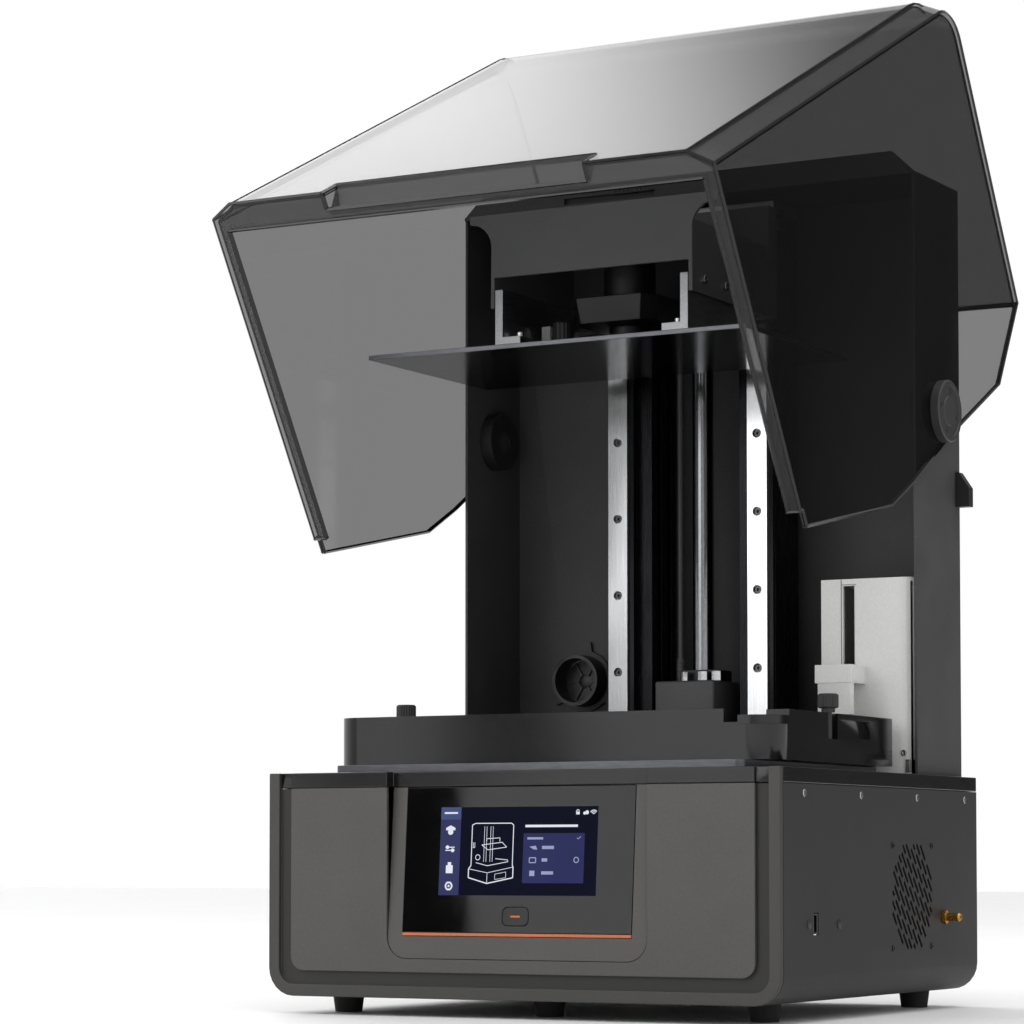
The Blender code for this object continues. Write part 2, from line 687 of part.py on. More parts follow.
def cover():
    """Smoke cover drawn closed, then swung open about its hinge empty."""
    side, proud = cover_outline(0, 0, 33), cover_outline(10.3, 0.5, 43)
    stations = [(-COVER_HALF, side), (-COVER_RAISED, proud)]
    stations += [(COVER_RAISED, proud), (COVER_HALF, side)]
    shell = loft("cover_shell", stations, (0.06, 0.06, 0.06), 0.1)
    w = COVER_WALL
    inner_side, inner_proud = [], []
    pairs = [(cover_outline(-w, -w, 30), inner_side), (cover_outline(10.3 - w, 0.5 - w, 40), inner_proud)]
    for shape, into in pairs:
        head = [(y, max(z, COVER_LOW + w)) for y, z in shape[:10]]
        end = Vector(shape[10])
        run = (end - Vector(shape[9])).normalized() * 12
        into += head + [(end.x + run.x, end.y + run.y)]
        into += [(178, 560), (170, 440), (168, 363), (160, 317), (110, COVER_LOW + w)]
    limit = COVER_HALF - w
    deep = COVER_RAISED - w * 0.45
    hollow = loft(
        "cut_cover_hollow",
        [(-limit, inner_side), (-deep, inner_proud), (deep, inner_proud), (limit, inner_side)],
    )
    bays = [((-182, -163, 150), (182, 200, 185)), ((-COVER_HALF - 9, 76, 150), (COVER_HALF + 9, 200, 175))]
    opening = boxes("cut_cover_floor", bays[:1])
    heel = boxes("cut_cover_heel", bays[1:])
    notch = prism(
        "cut_cover_notch", [(-100, 150), (100, 150), (100, 192.5), (-100, 192.5)], "y", -200, -171
    )
    pins = prism("cut_cover_pins", circle(HINGE_Y, HINGE_Z, 8.0, 24), "x", -210, 210)
    cut(shell, hollow, opening, heel, notch, pins)
    grip_shape = [(-181.1, 192.2), (-178.1, 192.2), (-165.5, 174.3), (-168.5, 174.3)]
    grip = prism("cover_grip", grip_shape, "x", -99.6, 99.6, BLACK, 0.2)
    caps = []
    for side_name, s in (("left", -1), ("right", 1)):
        x0, x1 = COVER_HALF + GAP, 199.5
        profile = [(s * 177, 0), (s * 177, 7.6), (s * x0, 7.6), (s * x0, 23)]
        profile += [(s * (x1 - 1.2), 23), (s * x1, 21.8), (s * x1, 0)]
        caps.append(
            lathe(f"hinge_cap_{side_name}", "x", (HINGE_Y, HINGE_Z), profile, DARK, 0.5)
        )
    axis = empty("cover_hinge", 0, HINGE_Y, HINGE_Z)
    pivot(axis, shell, grip, *caps)
    axis.rotation_euler = (-math.radians(OPENING), 0, 0)


def vat():
    """Resin tank with side screw recesses, pour lip and clear film."""
    front_x, front_y = VAT_HALF - 21, VAT_FRONT + 21
    back_x, back_y = VAT_HALF - 4, VAT_REAR - 4
    outer = arc(front_x, front_y, 21, -90, 0, 7) + arc(back_x, back_y, 4, 0, 90, 3)
    outer += arc(-back_x, back_y, 4, 90, 180, 3) + arc(-front_x, front_y, 21, 180, 270, 7)
    obj = prism("resin_vat", outer, "z", VAT_LOW, VAT_TOP, BLACK, 0.25)
    basin = rounded(-157, 157, VAT_FRONT + 4, VAT_REAR - 4, 14, 4)
    hollow = prism("cut_vat_basin", basin, "z", VAT_LOW + 1.4, 230)
    floor = rounded(-152.5, 152.5, -120, 50, 8, 3)
    through = prism("cut_vat_floor", floor, "z", 160, 190)
    sides = []
    for s in (-1, 1):
        x = sorted((s * 161, s * 190))
        sides.append(((x[0], KNOB_Y - 8, 192), (x[1], KNOB_Y + 9, 230)))
    open_sides = boxes("cut_screw_recess", sides)
    grips = []
    for s in (-1, 1):
        x = sorted((s * 168.5, s * 190))
        grips.append(((x[0], KNOB_Y + 14, 193.5), (x[1], KNOB_Y + 66, 206)))
    pockets = boxes("cut_finger_pockets", grips)
    dip = boxes("cut_pour_dip", [((136.5, -140, 200.8), (190, -106, 230))])
    rim = [(147.3, -131)] + arc(front_x, front_y, 22, -90, 0, 7) + [(175, -106.6)]
    rim += [(166, -106.6)] + arc(front_x, front_y, 13, 0, -90, 7) + [(147.3, -122)]
    lip = prism("add_pour_lip", rim, "z", 199.5, 205.6)
    bm = bmesh.new()
    for s in (-1, 1):
        prism_into(bm, circle(s * KNOB_X, KNOB_Y, 2.9, 16), "z", 170, 200)
    holes = solid("cut_screw_holes", bm)
    cut(obj, hollow, through, open_sides, pockets, dip, holes)
    join(obj, lip)
    film = prism(
        "release_film", rounded(-156.6, 156.6, -125.6, 72.6, 14, 4), "z", 177.3, 177.8, WHITE, 0.1
    )
    axis = empty("vat_axis", 0, 0, VAT_LOW)
    pivot(axis, obj, film)
    for side_name, s in (("left", -1), ("right", 1)):
        profile = [(177, 0), (177, 2.6), (210.5, 2.6), (210.5, 4.8), (213.5, 4.8), (213.5, 7.3)]
        profile += [(222.8, 7.3), (223.6, 6.5), (223.6, 0)]
        knob = lathe(
            f"thumb_screw_{side_name}", "z", (s * KNOB_X, KNOB_Y), profile, DARK, 0.5, count=24
        )
        pivot(empty(f"thumb_axis_{side_name}", s * KNOB_X, KNOB_Y, 210), knob)


def arm_bracket():
    """Folded hood: shouldered front sheet and two side sheets."""
    top, low, leg = ARM_TOP, 531.0, 508.6
    half = [(0, top), (99, top), (99, top - 6)]
    half += arc(99, top - 24, 18, 90, 180, 6)[1:]
    half += [(81.4, leg), (78.4, leg), (78.4, low), (0, low)]
    shape = half[:-1] + [(-x, z) for x, z in reversed(half[1:-1])]
    front = prism("arm_bracket", shape, "y", ARM_FRONT, ARM_FRONT + 3, DARK, 0.5, 0.4)
    walls = []
    for s in (-1, 1):
        x = sorted((s * 78.4, s * 81.4))
        walls.append(((x[0], ARM_FRONT + 1, leg), (x[1], 59.6, 560)))
    roof = box("add_arm_roof", (-80, ARM_FRONT + 1, 557), (80, 59.6, 560))
    return join(front, boxes("add_arm_sides", walls), roof)


def plate_profile(side):
    """Angle that ties the build plate to the arm."""
    z0 = PLATE_Z + PLATE_THICK + 9.6
    shape = [(77.9, z0), (77.9, 522), (71.6, 522), (71.6, z0 + 6), (57, z0 + 6), (57, z0)]
    name = "plate_angle_right" if side > 0 else "plate_angle_left"
    return prism(
        name, [(side * x, z) for x, z in shape], "y", ARM_FRONT, 48, ALU, 0.35, 0.9
    )


def carriage():
    """Everything that rides up and down the rails."""
    plate = box(
        "build_plate",
        (-PLATE_X, PLATE_FRONT, PLATE_Z),
        (PLATE_X, PLATE_REAR, PLATE_Z + PLATE_THICK),
        ALU,
        0.3,
        0.9,
    )
    pad = box("add_plate_pad", (-95, -60, PLATE_Z + 1), (95, 46, PLATE_Z + PLATE_THICK + 9.3))
    join(plate, pad)
    pieces = [plate, plate_profile(-1), plate_profile(1), arm_bracket()]
    for name, s in (("rail_block_left", -1), ("rail_block_right", 1)):
        x = sorted((s * 35, s * 81.6))
        block = box(name, (x[0], 75, 505), (x[1], 105, 562), DARK, 0.35, 0.8)
        way = box(f"cut_{name}", (s * RAIL_X - 8, 92.5, 490), (s * RAIL_X + 8, 120, 580))
        pieces.append(cut(block, way))
    back = box("carriage_plate", (-84, 60, 508), (84, 74.7, 590), DARK, 0.4, 0.8)
    nose = box("add_nut_arm", (-12, 70, 550), (14, 136, 572))
    nut = prism("add_nut", circle(0, SCREW_Y, 12.5, 32), "z", 546, 574)
    join(back, nose, nut)
    cut(back, prism("cut_nut_bore", circle(0, SCREW_Y, SCREW_R + 0.4, 24), "z", 530, 590))
    pieces.append(back)
    pivot(empty("z_axis", 0, SCREW_Y, 540), *pieces)


def ball_screw():
    """Lead screw between the two bearings."""
    profile = [(244, 0), (244, SCREW_R), (603, SCREW_R), (603, 0)]
    screw = lathe("ball_screw", "z", (0, SCREW_Y), profile, STEEL, 0.2, 1.0, count=24)
    pivot(empty("screw_axis", 0, SCREW_Y, 420), screw)


base_shell()
rear_panel()
front_frame()
front_panel()
screen_parts()
top_plate()
screen_stack()
electronics()
rocker_switch()
fan()
feet()
tower()
for hand in (-1, 1):
    pillar(hand)
    rail(hand)
    hinge_boss(hand)
column_fittings()
air_duct()
sensor()
cover()
vat()
carriage()
ball_screw()

for item in [*part_coll.objects, *cut_coll.objects]:
    if item.parent is None:
        item.location += Vector((SHIFT_X, SHIFT_Y, 0)) * MM
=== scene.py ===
# %% [markdown]
# A desktop resin printer with its smoke-grey cover swung open. Sizes are millimetres in the
# machine's own drawing frame.

# %% Load the frame
import json
import math

import bmesh
import bpy
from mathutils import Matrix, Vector

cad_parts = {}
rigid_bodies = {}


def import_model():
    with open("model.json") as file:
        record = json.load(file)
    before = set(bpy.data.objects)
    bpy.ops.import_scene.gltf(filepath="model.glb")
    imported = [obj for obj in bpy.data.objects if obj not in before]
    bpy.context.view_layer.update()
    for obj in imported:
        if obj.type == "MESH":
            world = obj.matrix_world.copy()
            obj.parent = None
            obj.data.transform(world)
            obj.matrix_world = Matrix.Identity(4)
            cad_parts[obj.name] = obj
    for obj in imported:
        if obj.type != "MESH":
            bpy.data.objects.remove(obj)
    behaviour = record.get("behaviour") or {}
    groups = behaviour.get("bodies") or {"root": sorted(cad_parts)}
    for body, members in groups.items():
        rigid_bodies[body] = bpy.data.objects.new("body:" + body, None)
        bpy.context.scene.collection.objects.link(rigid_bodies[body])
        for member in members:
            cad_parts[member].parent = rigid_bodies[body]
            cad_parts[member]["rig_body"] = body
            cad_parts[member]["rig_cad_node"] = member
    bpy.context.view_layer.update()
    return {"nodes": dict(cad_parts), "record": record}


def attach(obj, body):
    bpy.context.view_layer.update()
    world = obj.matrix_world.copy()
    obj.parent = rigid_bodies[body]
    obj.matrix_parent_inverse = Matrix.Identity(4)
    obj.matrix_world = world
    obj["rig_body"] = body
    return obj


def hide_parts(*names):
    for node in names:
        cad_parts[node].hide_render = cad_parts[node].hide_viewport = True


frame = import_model()
scene = bpy.context.scene

# %% [markdown]
# The drawing's origin is the middle of the base, while the part stands with its whole open
# outline centred. So the drawing's origin is 3 mm left of the scene's and 15 mm in front of it.
# One helper moves a drawing point to its place in the scene, in metres.

# %% Places
MM = 0.001


def at(x, y, z):
    """A drawing point in millimetres as a scene point in metres."""
    return Vector((x - 3, y - 15, z)) * MM


print("drawing origin at", tuple(round(v, 3) for v in at(0, 0, 0)))

# %% [markdown]
# Paint charts give colours as sRGB hex, but shaders add light, which is linear. One function
# converts. Another adds a shader node with its settings and links, so each material below
# reads as a short recipe.

# %% Colour and node helpers
def linear(code, alpha=1.0):
    """sRGB hex to linear RGBA."""
    parts = [int(code[i:i + 2], 16) / 255 for i in (0, 2, 4)]
    light = [p / 12.92 if p <= 0.04045 else ((p + 0.055) / 1.055) ** 2.4 for p in parts]
    return (*light, alpha)


def add(tree, kind, settings=(), **links):
    """One node: settings go to its properties or sockets, links are other nodes' outputs."""
    node = tree.nodes.new(kind)
    for name, value in dict(settings).items():
        if name in node.inputs:
            node.inputs[name].default_value = value
        else:
            setattr(node, name, value)
    for name, source in links.items():
        tree.links.new(source, node.inputs[name.replace("_", " ")])
    return node


def start(name, colour, roughness, metallic=0.0, **sockets):
    """A named material with its plain surface values set on the shader itself."""
    material = bpy.data.materials.new(name)
    material.use_nodes = True
    surface = material.node_tree.nodes["Principled BSDF"]
    surface.inputs["Base Color"].default_value = linear(colour)
    surface.inputs["Roughness"].default_value = roughness
    surface.inputs["Metallic"].default_value = metallic
    for socket, value in sockets.items():
        surface.inputs[socket.replace("_", " ")].default_value = value
    material.diffuse_color = linear(colour)
    return material


def surface_of(material):
    return material.node_tree, material.node_tree.nodes["Principled BSDF"]


print("mid grey 808080 is", round(linear("808080")[0], 3), "linear")

# %% [markdown]
# Nearly every finish has some grain: orange peel in powder coat, spark texture in a mould,
# cast skin on metal. Three things vary together over that grain, the height, the colour and
# the gloss. The helper works out the noise scale from a grain width in millimetres, and mixes
# in some 40 mm wide cloudiness, because no real coat is quite even.

# %% Grain
def grain(material, width, depth, dark, pale, rough, stretch=(1, 1, 1)):
    """Noise of one grain width: bump in millimetres, a colour pair and a roughness pair."""
    low, high = 0.3, 0.7
    tree, surface = surface_of(material)
    place = add(tree, "ShaderNodeTexCoord")
    spread = add(tree, "ShaderNodeMapping", {"Scale": stretch}, Vector=place.outputs["Object"])
    fine = add(tree, "ShaderNodeTexNoise", {"Scale": 1000 / width, "Detail": 3.0},
               Vector=spread.outputs["Vector"])
    broad = add(tree, "ShaderNodeTexNoise", {"Scale": 1000 / 40, "Detail": 2.0},
                Vector=place.outputs["Object"])
    both = add(tree, "ShaderNodeMix", {"data_type": "FLOAT", "Factor": 0.3},
               A=fine.outputs["Fac"], B=broad.outputs["Fac"])
    ramp = add(tree, "ShaderNodeValToRGB", Fac=both.outputs[0])
    for stop, place_on_ramp, colour in zip(ramp.color_ramp.elements, (low, high), (dark, pale)):
        stop.position, stop.color = place_on_ramp, linear(colour)
    tree.links.new(ramp.outputs["Color"], surface.inputs["Base Color"])
    gloss = add(tree, "ShaderNodeMapRange",
                {"From Min": low, "From Max": high, "To Min": rough[0], "To Max": rough[1]},
                Value=both.outputs[0])
    tree.links.new(gloss.outputs["Result"], surface.inputs["Roughness"])
    bump = add(tree, "ShaderNodeBump", {"Strength": 1.0, "Distance": depth * MM},
               Height=fine.outputs["Fac"])
    tree.links.new(bump.outputs["Normal"], surface.inputs["Normal"])
    return material


print("a 1.2 mm grain needs noise scale", round(1000 / 1.2))

# %% [markdown]
# Powder-coated sheet steel: resin powder baked on, so it has soft orange peel and a faint
# sparkle of lighter specks. Real peel is about half a millimetre; it is drawn at 1.1 mm so
# that it shows at this distance. The front is a mid grey and the column much darker. The
# sides are much darker as well, partly as painted shade for the lesser light on the sides.

# %% Powder coats
PEEL_WIDTH, PEEL_DEPTH = 1.1, 0.035
slots = {}
for slot, dark, pale, rough in (
    # the sides' darker coat is partly painted shade: less light reaches the sides than the front
    ("side_paint", "191717", "232121", (0.5, 0.62)),
    ("front_paint", "403f3d", "4d4b49", (0.48, 0.58)),
    ("column_paint", "2b2a2b", "474648", (0.5, 0.66)),
    ("arm_paint", "464647", "525253", (0.42, 0.52)),
    ("motor_cover", "3a3a3b", "474748", (0.48, 0.56)),
):
    slots[slot] = grain(start(slot.replace("paint", "powder_coat"), dark, rough[0]),
                        PEEL_WIDTH, PEEL_DEPTH, dark, pale, rough)
print("powder coats:", list(slots))

# %% [markdown]
# Moulded plastics. The deck and vat are dark and nearly mirror smooth, so they show the room
# as soft streaks; the knobs, caps, fan and socket are spark-textured ABS or nylon with a
# dull skin. IOR 1.5 is typical of these plastics. The white sensor box is plain ABS.

# %% Plastics and rubber
for slot, name, dark, pale, width, depth, rough in (
    ("deck_gloss", "gloss_black_moulding", "0b0b0c", "121213", 2.0, 0.004, (0.14, 0.2)),
    ("vat_anodised", "satin_black_vat", "0f0f10", "171718", 1.4, 0.005, (0.13, 0.18)),
    ("button_black", "gloss_button", "101012", "151517", 1.5, 0.003, (0.12, 0.18)),
    ("knob_plastic", "nylon_knob", "1d1d1e", "2b2b2c", 0.9, 0.02, (0.45, 0.58)),
    ("cap_plastic", "spark_textured_cap", "262627", "343435", 0.9, 0.02, (0.45, 0.55)),
    ("fan_plastic", "fan_moulding", "0c0c0d", "161617", 1.2, 0.01, (0.4, 0.5)),
    ("socket_plastic", "socket_moulding", "101011", "1a1a1b", 1.2, 0.01, (0.42, 0.52)),
    ("black_plastic", "duct_moulding", "131314", "1e1e1f", 1.0, 0.015, (0.4, 0.5)),
    ("foot_rubber", "foot_rubber", "0d0d0d", "181817", 1.0, 0.03, (0.7, 0.85)),
    ("white_plastic", "white_abs", "dededc", "ebebe9", 1.2, 0.01, (0.36, 0.44)),
    ("orange_trim", "orange_trim_moulding", "b4582c", "d3743f", 1.0, 0.01, (0.35, 0.45)),
):
    slots[slot] = grain(start(name, dark, rough[0], IOR=1.5), width, depth, dark, pale, rough)
print("plastics:", len(slots))

# %% [markdown]
# Metals. Ground rail steel and the bright screw have fine lines along their length; anodised
# and cast aluminium are softer. A metal's colour is its reflection, so the hex values are
# pale and the roughness pair does the work. Lines are the same noise stretched one way.

# %% Metals
EVEN, UPRIGHT = (1, 1, 1), (1, 1, 0.03)
for slot, name, dark, pale, width, depth, rough, lines in (
    ("ground_steel", "ground_rail_steel",
     "d2d3d5", "e8e9ea", 1.2, 0.0, (0.17, 0.18), UPRIGHT),
    ("bearing_steel", "turned_bearing_steel",
     "b4b5b7", "d6d7d8", 1.0, 0.004, (0.18, 0.28), (1, 1, 0.5)),
    ("bare_aluminium", "milled_aluminium",
     "9a9b9d", "b6b7b8", 1.2, 0.006, (0.3, 0.42), (0.1, 1, 1)),
    ("black_anodised", "black_anodised_extrusion",
     "1b1b1d", "2a2a2c", 1.0, 0.004, (0.22, 0.32), (1, 1, 0.04)),
    ("clear_anodised", "clear_anodised_angle",
     "8d8e90", "a9aaab", 1.2, 0.005, (0.32, 0.42), (1, 0.08, 1)),
    ("plate_aluminium", "dark_bead_blasted_plate",
     "3c3c3e", "4b4b4d", 0.9, 0.003, (0.14, 0.2), EVEN),
    ("block_steel", "blackened_block_steel",
     "2a2a2c", "3a3a3c", 1.2, 0.006, (0.3, 0.4), EVEN),
    ("zinc_case", "zinc_plated_case",
     "8e9092", "b5b7b9", 3.0, 0.01, (0.35, 0.5), EVEN),
    ("port_steel", "tinned_port_steel",
     "4c4d4f", "646567", 1.0, 0.004, (0.25, 0.35), EVEN),
    ("brass", "gilded_brass",
     "a8772f", "d0a050", 0.9, 0.006, (0.22, 0.32), EVEN),
    ("seat_metal", "stamped_seat_aluminium",
     "55565a", "6b6c70", 1.4, 0.006, (0.34, 0.44), (0.1, 1, 1)),
):
    slots[slot] = grain(start(name, dark, rough[0], 1.0), width, depth, dark, pale, rough, lines)
print("metals added, finishes so far:", len(slots))

# %% [markdown]
# Glass, film and circuit board. The touch glass is polished over a black backing, with only
# faint smears in its gloss. The release film is clear fluoropolymer, so it is mostly
# see-through. The board is green solder mask over a copper pattern.

# %% Glass, film and board
slots["touch_glass"] = grain(start("backed_touch_glass", "0a0a0b", 0.05, IOR=1.52),
                             18.0, 0.0, "09090a", "0c0c0d", (0.03, 0.07))
slots["mask_glass"] = grain(start("mask_panel_glass", "101013", 0.06, IOR=1.52),
                            20.0, 0.0, "0d0d11", "131318", (0.04, 0.09))
slots["film"] = grain(start("release_film", "c8ccd0", 0.12, IOR=1.35, Alpha=0.22),
                      9.0, 0.01, "bfc4c8", "d4d8db", (0.08, 0.2))
slots["circuit_board"] = grain(start("solder_mask_board", "0c3b1e", 0.35, IOR=1.5),
                               1.6, 0.01, "0a3018", "15552c", (0.3, 0.42), (1, .2, 1))
print("clear finishes added:", len(slots))

# %% [markdown]
# Smoke-tinted acrylic sheet, thermoformed and polished. Light is absorbed in the sheet and
# mirrored at its skin. Each wall has two skins, and each lets a little under half the light
# pass, so one wall dims white to mid grey and two walls to charcoal.

# %% Smoke acrylic
smoke = grain(start("smoke_acrylic_sheet", "060606", 0.07, IOR=1.56, Alpha=0.55),
              30.0, 0.0, "050505", "080808", (0.05, 0.1))
slots["smoke_acrylic"] = smoke
# painted shade: a near-black finish for the cover's cut edges and fold lines, for light trapped
# in the sheet
edge_painted_shade = grain(start("acrylic_edge_painted_shade", "050505", 0.12, IOR=1.5),
                 1.5, 0.004, "040404", "0a0a0a", (0.1, 0.16))
missing = [m["slot"] for m in frame["record"]["materials"] if m["slot"] not in slots]
print("slots without a finish:", missing)

# %% [markdown]
# Engineering solids have knife edges, which catch no light. Real sheet has a folded or
# polished edge of a few tenths of a millimetre, and that thin bright line is what makes it
# look made. Each solid is copied, its triangles merged to clean faces, and a small Bevel
# rounds the sharp edges. The copy rides on the same body and stands for the solid.

# %% Clean copies
SHARP = math.radians(32)


def finish_piece(obj, body, stands_for=()):
    """Ties a visible piece to its body and hides the solids it stands for."""
    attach(obj, body)
    if stands_for:
        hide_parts(*stands_for)
    return obj


def rounded(obj, edge, harden=True):
    """Rounds the sharp edges of a piece, edge in millimetres."""
    mod = obj.modifiers.new("edge", "BEVEL")
    mod.width, mod.segments = edge * MM, 2
    mod.limit_method, mod.angle_limit = "ANGLE", SHARP
    mod.harden_normals = harden


def clean_copy(node, edge):
    """A copy of a solid with merged faces and rounded edges, edge in millimetres."""
    obj = frame["nodes"][node].copy()
    obj.data = obj.data.copy()
    obj.name = node + "_made"
    obj.parent = None
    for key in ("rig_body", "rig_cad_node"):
        if key in obj:
            del obj[key]
    scene.collection.objects.link(obj)
    bm = bmesh.new()
    bm.from_mesh(obj.data)
    bmesh.ops.remove_doubles(bm, verts=bm.verts, dist=2e-6)
    bmesh.ops.dissolve_limit(bm, angle_limit=math.radians(0.6), verts=bm.verts, edges=bm.edges)
    bmesh.ops.recalc_face_normals(bm, faces=bm.faces)
    bm.to_mesh(obj.data)
    bm.free()
    obj.data.shade_smooth()
    obj.data.set_sharp_from_angle(angle=SHARP)
    if edge:
        rounded(obj, edge)
    return obj


print("edges sharper than", round(math.degrees(SHARP)), "degrees are rounded")

# %% [markdown]
# A folded sheet has a tighter edge than a moulding, so each solid has its own rounding. Six
# pieces are left out here, because later cells make them afresh or treat them specially.

# %% Dress the solids
slot_of = {p["node"]: p["material_slot"] for p in frame["record"]["subparts"]}
body_of = {n: b for b, ns in frame["record"]["behaviour"]["bodies"].items() for n in ns}
own_pieces = {"thumb_screw_left", "thumb_screw_right", "hinge_cap_left",
              "hinge_cap_right", "antenna_connector", "cover_shell"}
usual_edge = 0.35
edges_mm = {"base_shell": 0.3, "front_frame": 0.7, "front_panel": 0.5, "top_plate": 0.7,
            "resin_vat": 0.8, "tower_shell": 0.35, "arm_bracket": 0.4, "sensor_housing": 0.6,
            "sensor_slider": 0.4, "build_plate": 0.5, "motor_block": 0.0, "light_engine": 1.0,
            "screen_housing": 0.4, "rail_left": 0.0, "rail_right": 0.0, "fan_rotor": 0.25,
            "release_film": 0.0, "touch_glass": 0.15, "accent_strip": 0.2}
for node in sorted(set(slot_of) - own_pieces):
    piece = clean_copy(node, edges_mm.get(node, usual_edge))
    piece.data.materials.clear()
    piece.data.materials.append(slots[slot_of[node]])
    finish_piece(piece, body_of[node], (node,))
print("solids dressed:", len(slot_of) - len(own_pieces))

# %% [markdown]
# Some solids carry two finishes. The build plate is dark on its faces but milled bare round
# its edge, and each rail is ground in front and left black on its flanks. A second material
# goes on the mesh, and a test of each face says which one it wears.

# %% Two finishes on one solid
def mesh_of(node):
    return bpy.data.objects[node + "_made"].data


def second_finish(mesh, material, wears):
    """Adds a second material, for the faces that the test picks."""
    mesh.materials.append(material)
    for face in mesh.polygons:
        face.material_index = 1 if wears(face) else 0
    return sum(face.material_index for face in mesh.polygons)


bare = second_finish(mesh_of("build_plate"), slots["seat_metal"],
                     lambda face: abs(face.normal.z) < 0.5)
flank_depth = at(0, 97.4, 0).y
for side in ("left", "right"):
    rail = mesh_of("rail_" + side)
    rail.shade_flat()
    flanks = second_finish(rail, slots["block_steel"], lambda face: (
        face.center.y > flank_depth and abs(face.normal.x) > 0.2))
print("bare plate faces:", bare, "black faces on each rail:", flanks)

# %% [markdown]
# The front is two pressings. The raised rim is painted a shade darker than the panel it
# frames, partly as painted shade for its downward-facing lower part, and the sunk gap
# between them is painted darker still as painted shade, because little light reaches it.

# %% Front rim and sunk gap, with painted shade
# painted shade: the rim's coat is darker than the panel, partly for shade on its lower part
rim_coat_and_shade = grain(start("rim_coat_with_painted_shade", "353432", 0.5), PEEL_WIDTH, PEEL_DEPTH,
                  "302f2d", "3c3b38", (0.48, 0.58))
# painted shade: the sunk gap's coat is darkened for the little light that reaches it
gap_painted_shade = grain(start("sunk_gap_painted_shade", "1c1b1a", 0.6), PEEL_WIDTH, PEEL_DEPTH,
                  "181716", "22211f", (0.55, 0.66))
gap_face = at(0, -172, 0).y
front_rim = mesh_of("front_frame")
front_rim.materials[0] = rim_coat_and_shade
# the faces in the sunk gap wear the painted shade
sunk = second_finish(front_rim, gap_painted_shade, lambda face: abs(face.center.y - gap_face) < 0.4 * MM)
print("sunk faces:", sunk)

# %% [markdown]
# Inside the column, the lead screw is polished and greased, so at this distance it shows as a
# smooth bright shaft with no thread. The cable tube is grey nylon, the bearing blackened.

# %% Column fittings
mesh_of("cable_tube").materials[0] = slots["motor_cover"]
mesh_of("lower_bearing").materials[0] = slots["block_steel"]
screw_steel = grain(start("polished_screw_steel", "8b8c8e", 0.16, 1.0), 1.0, 0.0,
                    "7b7c7e", "929395", (0.14, 0.2), (1, 1, 0.2))
mesh_of("ball_screw").materials[0] = screw_steel
print("column fittings finished: 3")

# %% [markdown]
# Many small parts are turned on a lathe or are a flat outline given thickness. Two mesh
# helpers make them: one spins a profile, which may be fluted or have a six-sided socket,
# and one joins two outlines. Each adds to a bmesh, so several can make one piece.

# %% Mesh helpers
def spin(bm, axis, centre, profile, count=24, flute=0.0):
    """Turned form: profile rows are (height, radius) or (height, radius, sides)."""
    k = "xyz".index(axis)
    rings = []
    for row in profile:
        ring = []
        for i in range(count):
            turn = 2 * math.pi * i / count
            radius = row[1] - (flute if flute and i % 2 and row[1] > 2 else 0)
            if len(row) == 3:
                step = math.pi / row[2]
                radius *= math.cos(step) / math.cos((turn + step) % (2 * step) - step)
            spot = [centre[0] + radius * math.cos(turn), centre[1] + radius * math.sin(turn)]
            spot.insert(k, row[0])
            ring.append(bm.verts.new(at(*spot)))
        rings.append(ring)
    for one, two in zip(rings, rings[1:]):
        for i in range(count):
            j = (i + 1) % count
            bm.faces.new((one[i], one[j], two[j], two[i]))
    bm.faces.new(rings[0])
    bm.faces.new(rings[-1])


def slab(bm, near, far):
    """Closed form between two matching outlines of scene points."""
    one = [bm.verts.new(p) for p in near]
    two = [bm.verts.new(p) for p in far]
    bm.faces.new(one)
    bm.faces.new(two)
    for i in range(len(one)):
        j = (i + 1) % len(one)
        bm.faces.new((one[i], one[j], two[j], two[i]))


def block(bm, low, high):
    """A box between two drawing corners, as a slab."""
    (x0, y0, z0), (x1, y1, z1) = low, high
    ring = ((x0, y0), (x1, y0), (x1, y1), (x0, y1))
    slab(bm, [at(x, y, z0) for x, y in ring], [at(x, y, z1) for x, y in ring])


print("mesh helpers: spin, slab, block")

# %% [markdown]
# Every piece then goes the same way: outward normals, a mesh, its finish, smooth shading that
# stops at sharp edges, and the body that it rides on. Most small parts are held by cap screws,
# so a screw with its hexagon socket is a helper as well.

# %% Finished pieces and screws


def made(name, bm, material, body, stands_for=(), edge=0.0, smooth=True):
    """Turns a bmesh into a finished piece on its body."""
    bmesh.ops.recalc_face_normals(bm, faces=bm.faces)
    mesh = bpy.data.meshes.new(name)
    bm.to_mesh(mesh)
    bm.free()
    mesh.materials.append(material)
    obj = bpy.data.objects.new(name, mesh)
    scene.collection.objects.link(obj)
    if smooth:
        mesh.shade_smooth()
        mesh.set_sharp_from_angle(angle=math.radians(34))
    if edge:
        rounded(obj, edge, smooth)
    return finish_piece(obj, body, stands_for)


def socket_screw(bm, axis, centre, seat, way, radius, head):
    """A cap screw: head out from its seat along way (+1 or -1), with a hex socket."""
    top = seat + way * head
    deep = top - way * head * 0.7
    spin(bm, axis, centre, [(seat, radius), (top - way * 0.3, radius), (top, radius - 0.3),
                            (top, radius * 0.5, 6), (deep, radius * 0.5, 6)], 24)


print("piece helpers: made, socket_screw")

# %% [markdown]
# The vat's two thumb screws have knurled heads for wet gloves. A knurl is cut by pressing
# flutes into the rim; alternate points of the turned ring are pulled in to make them.

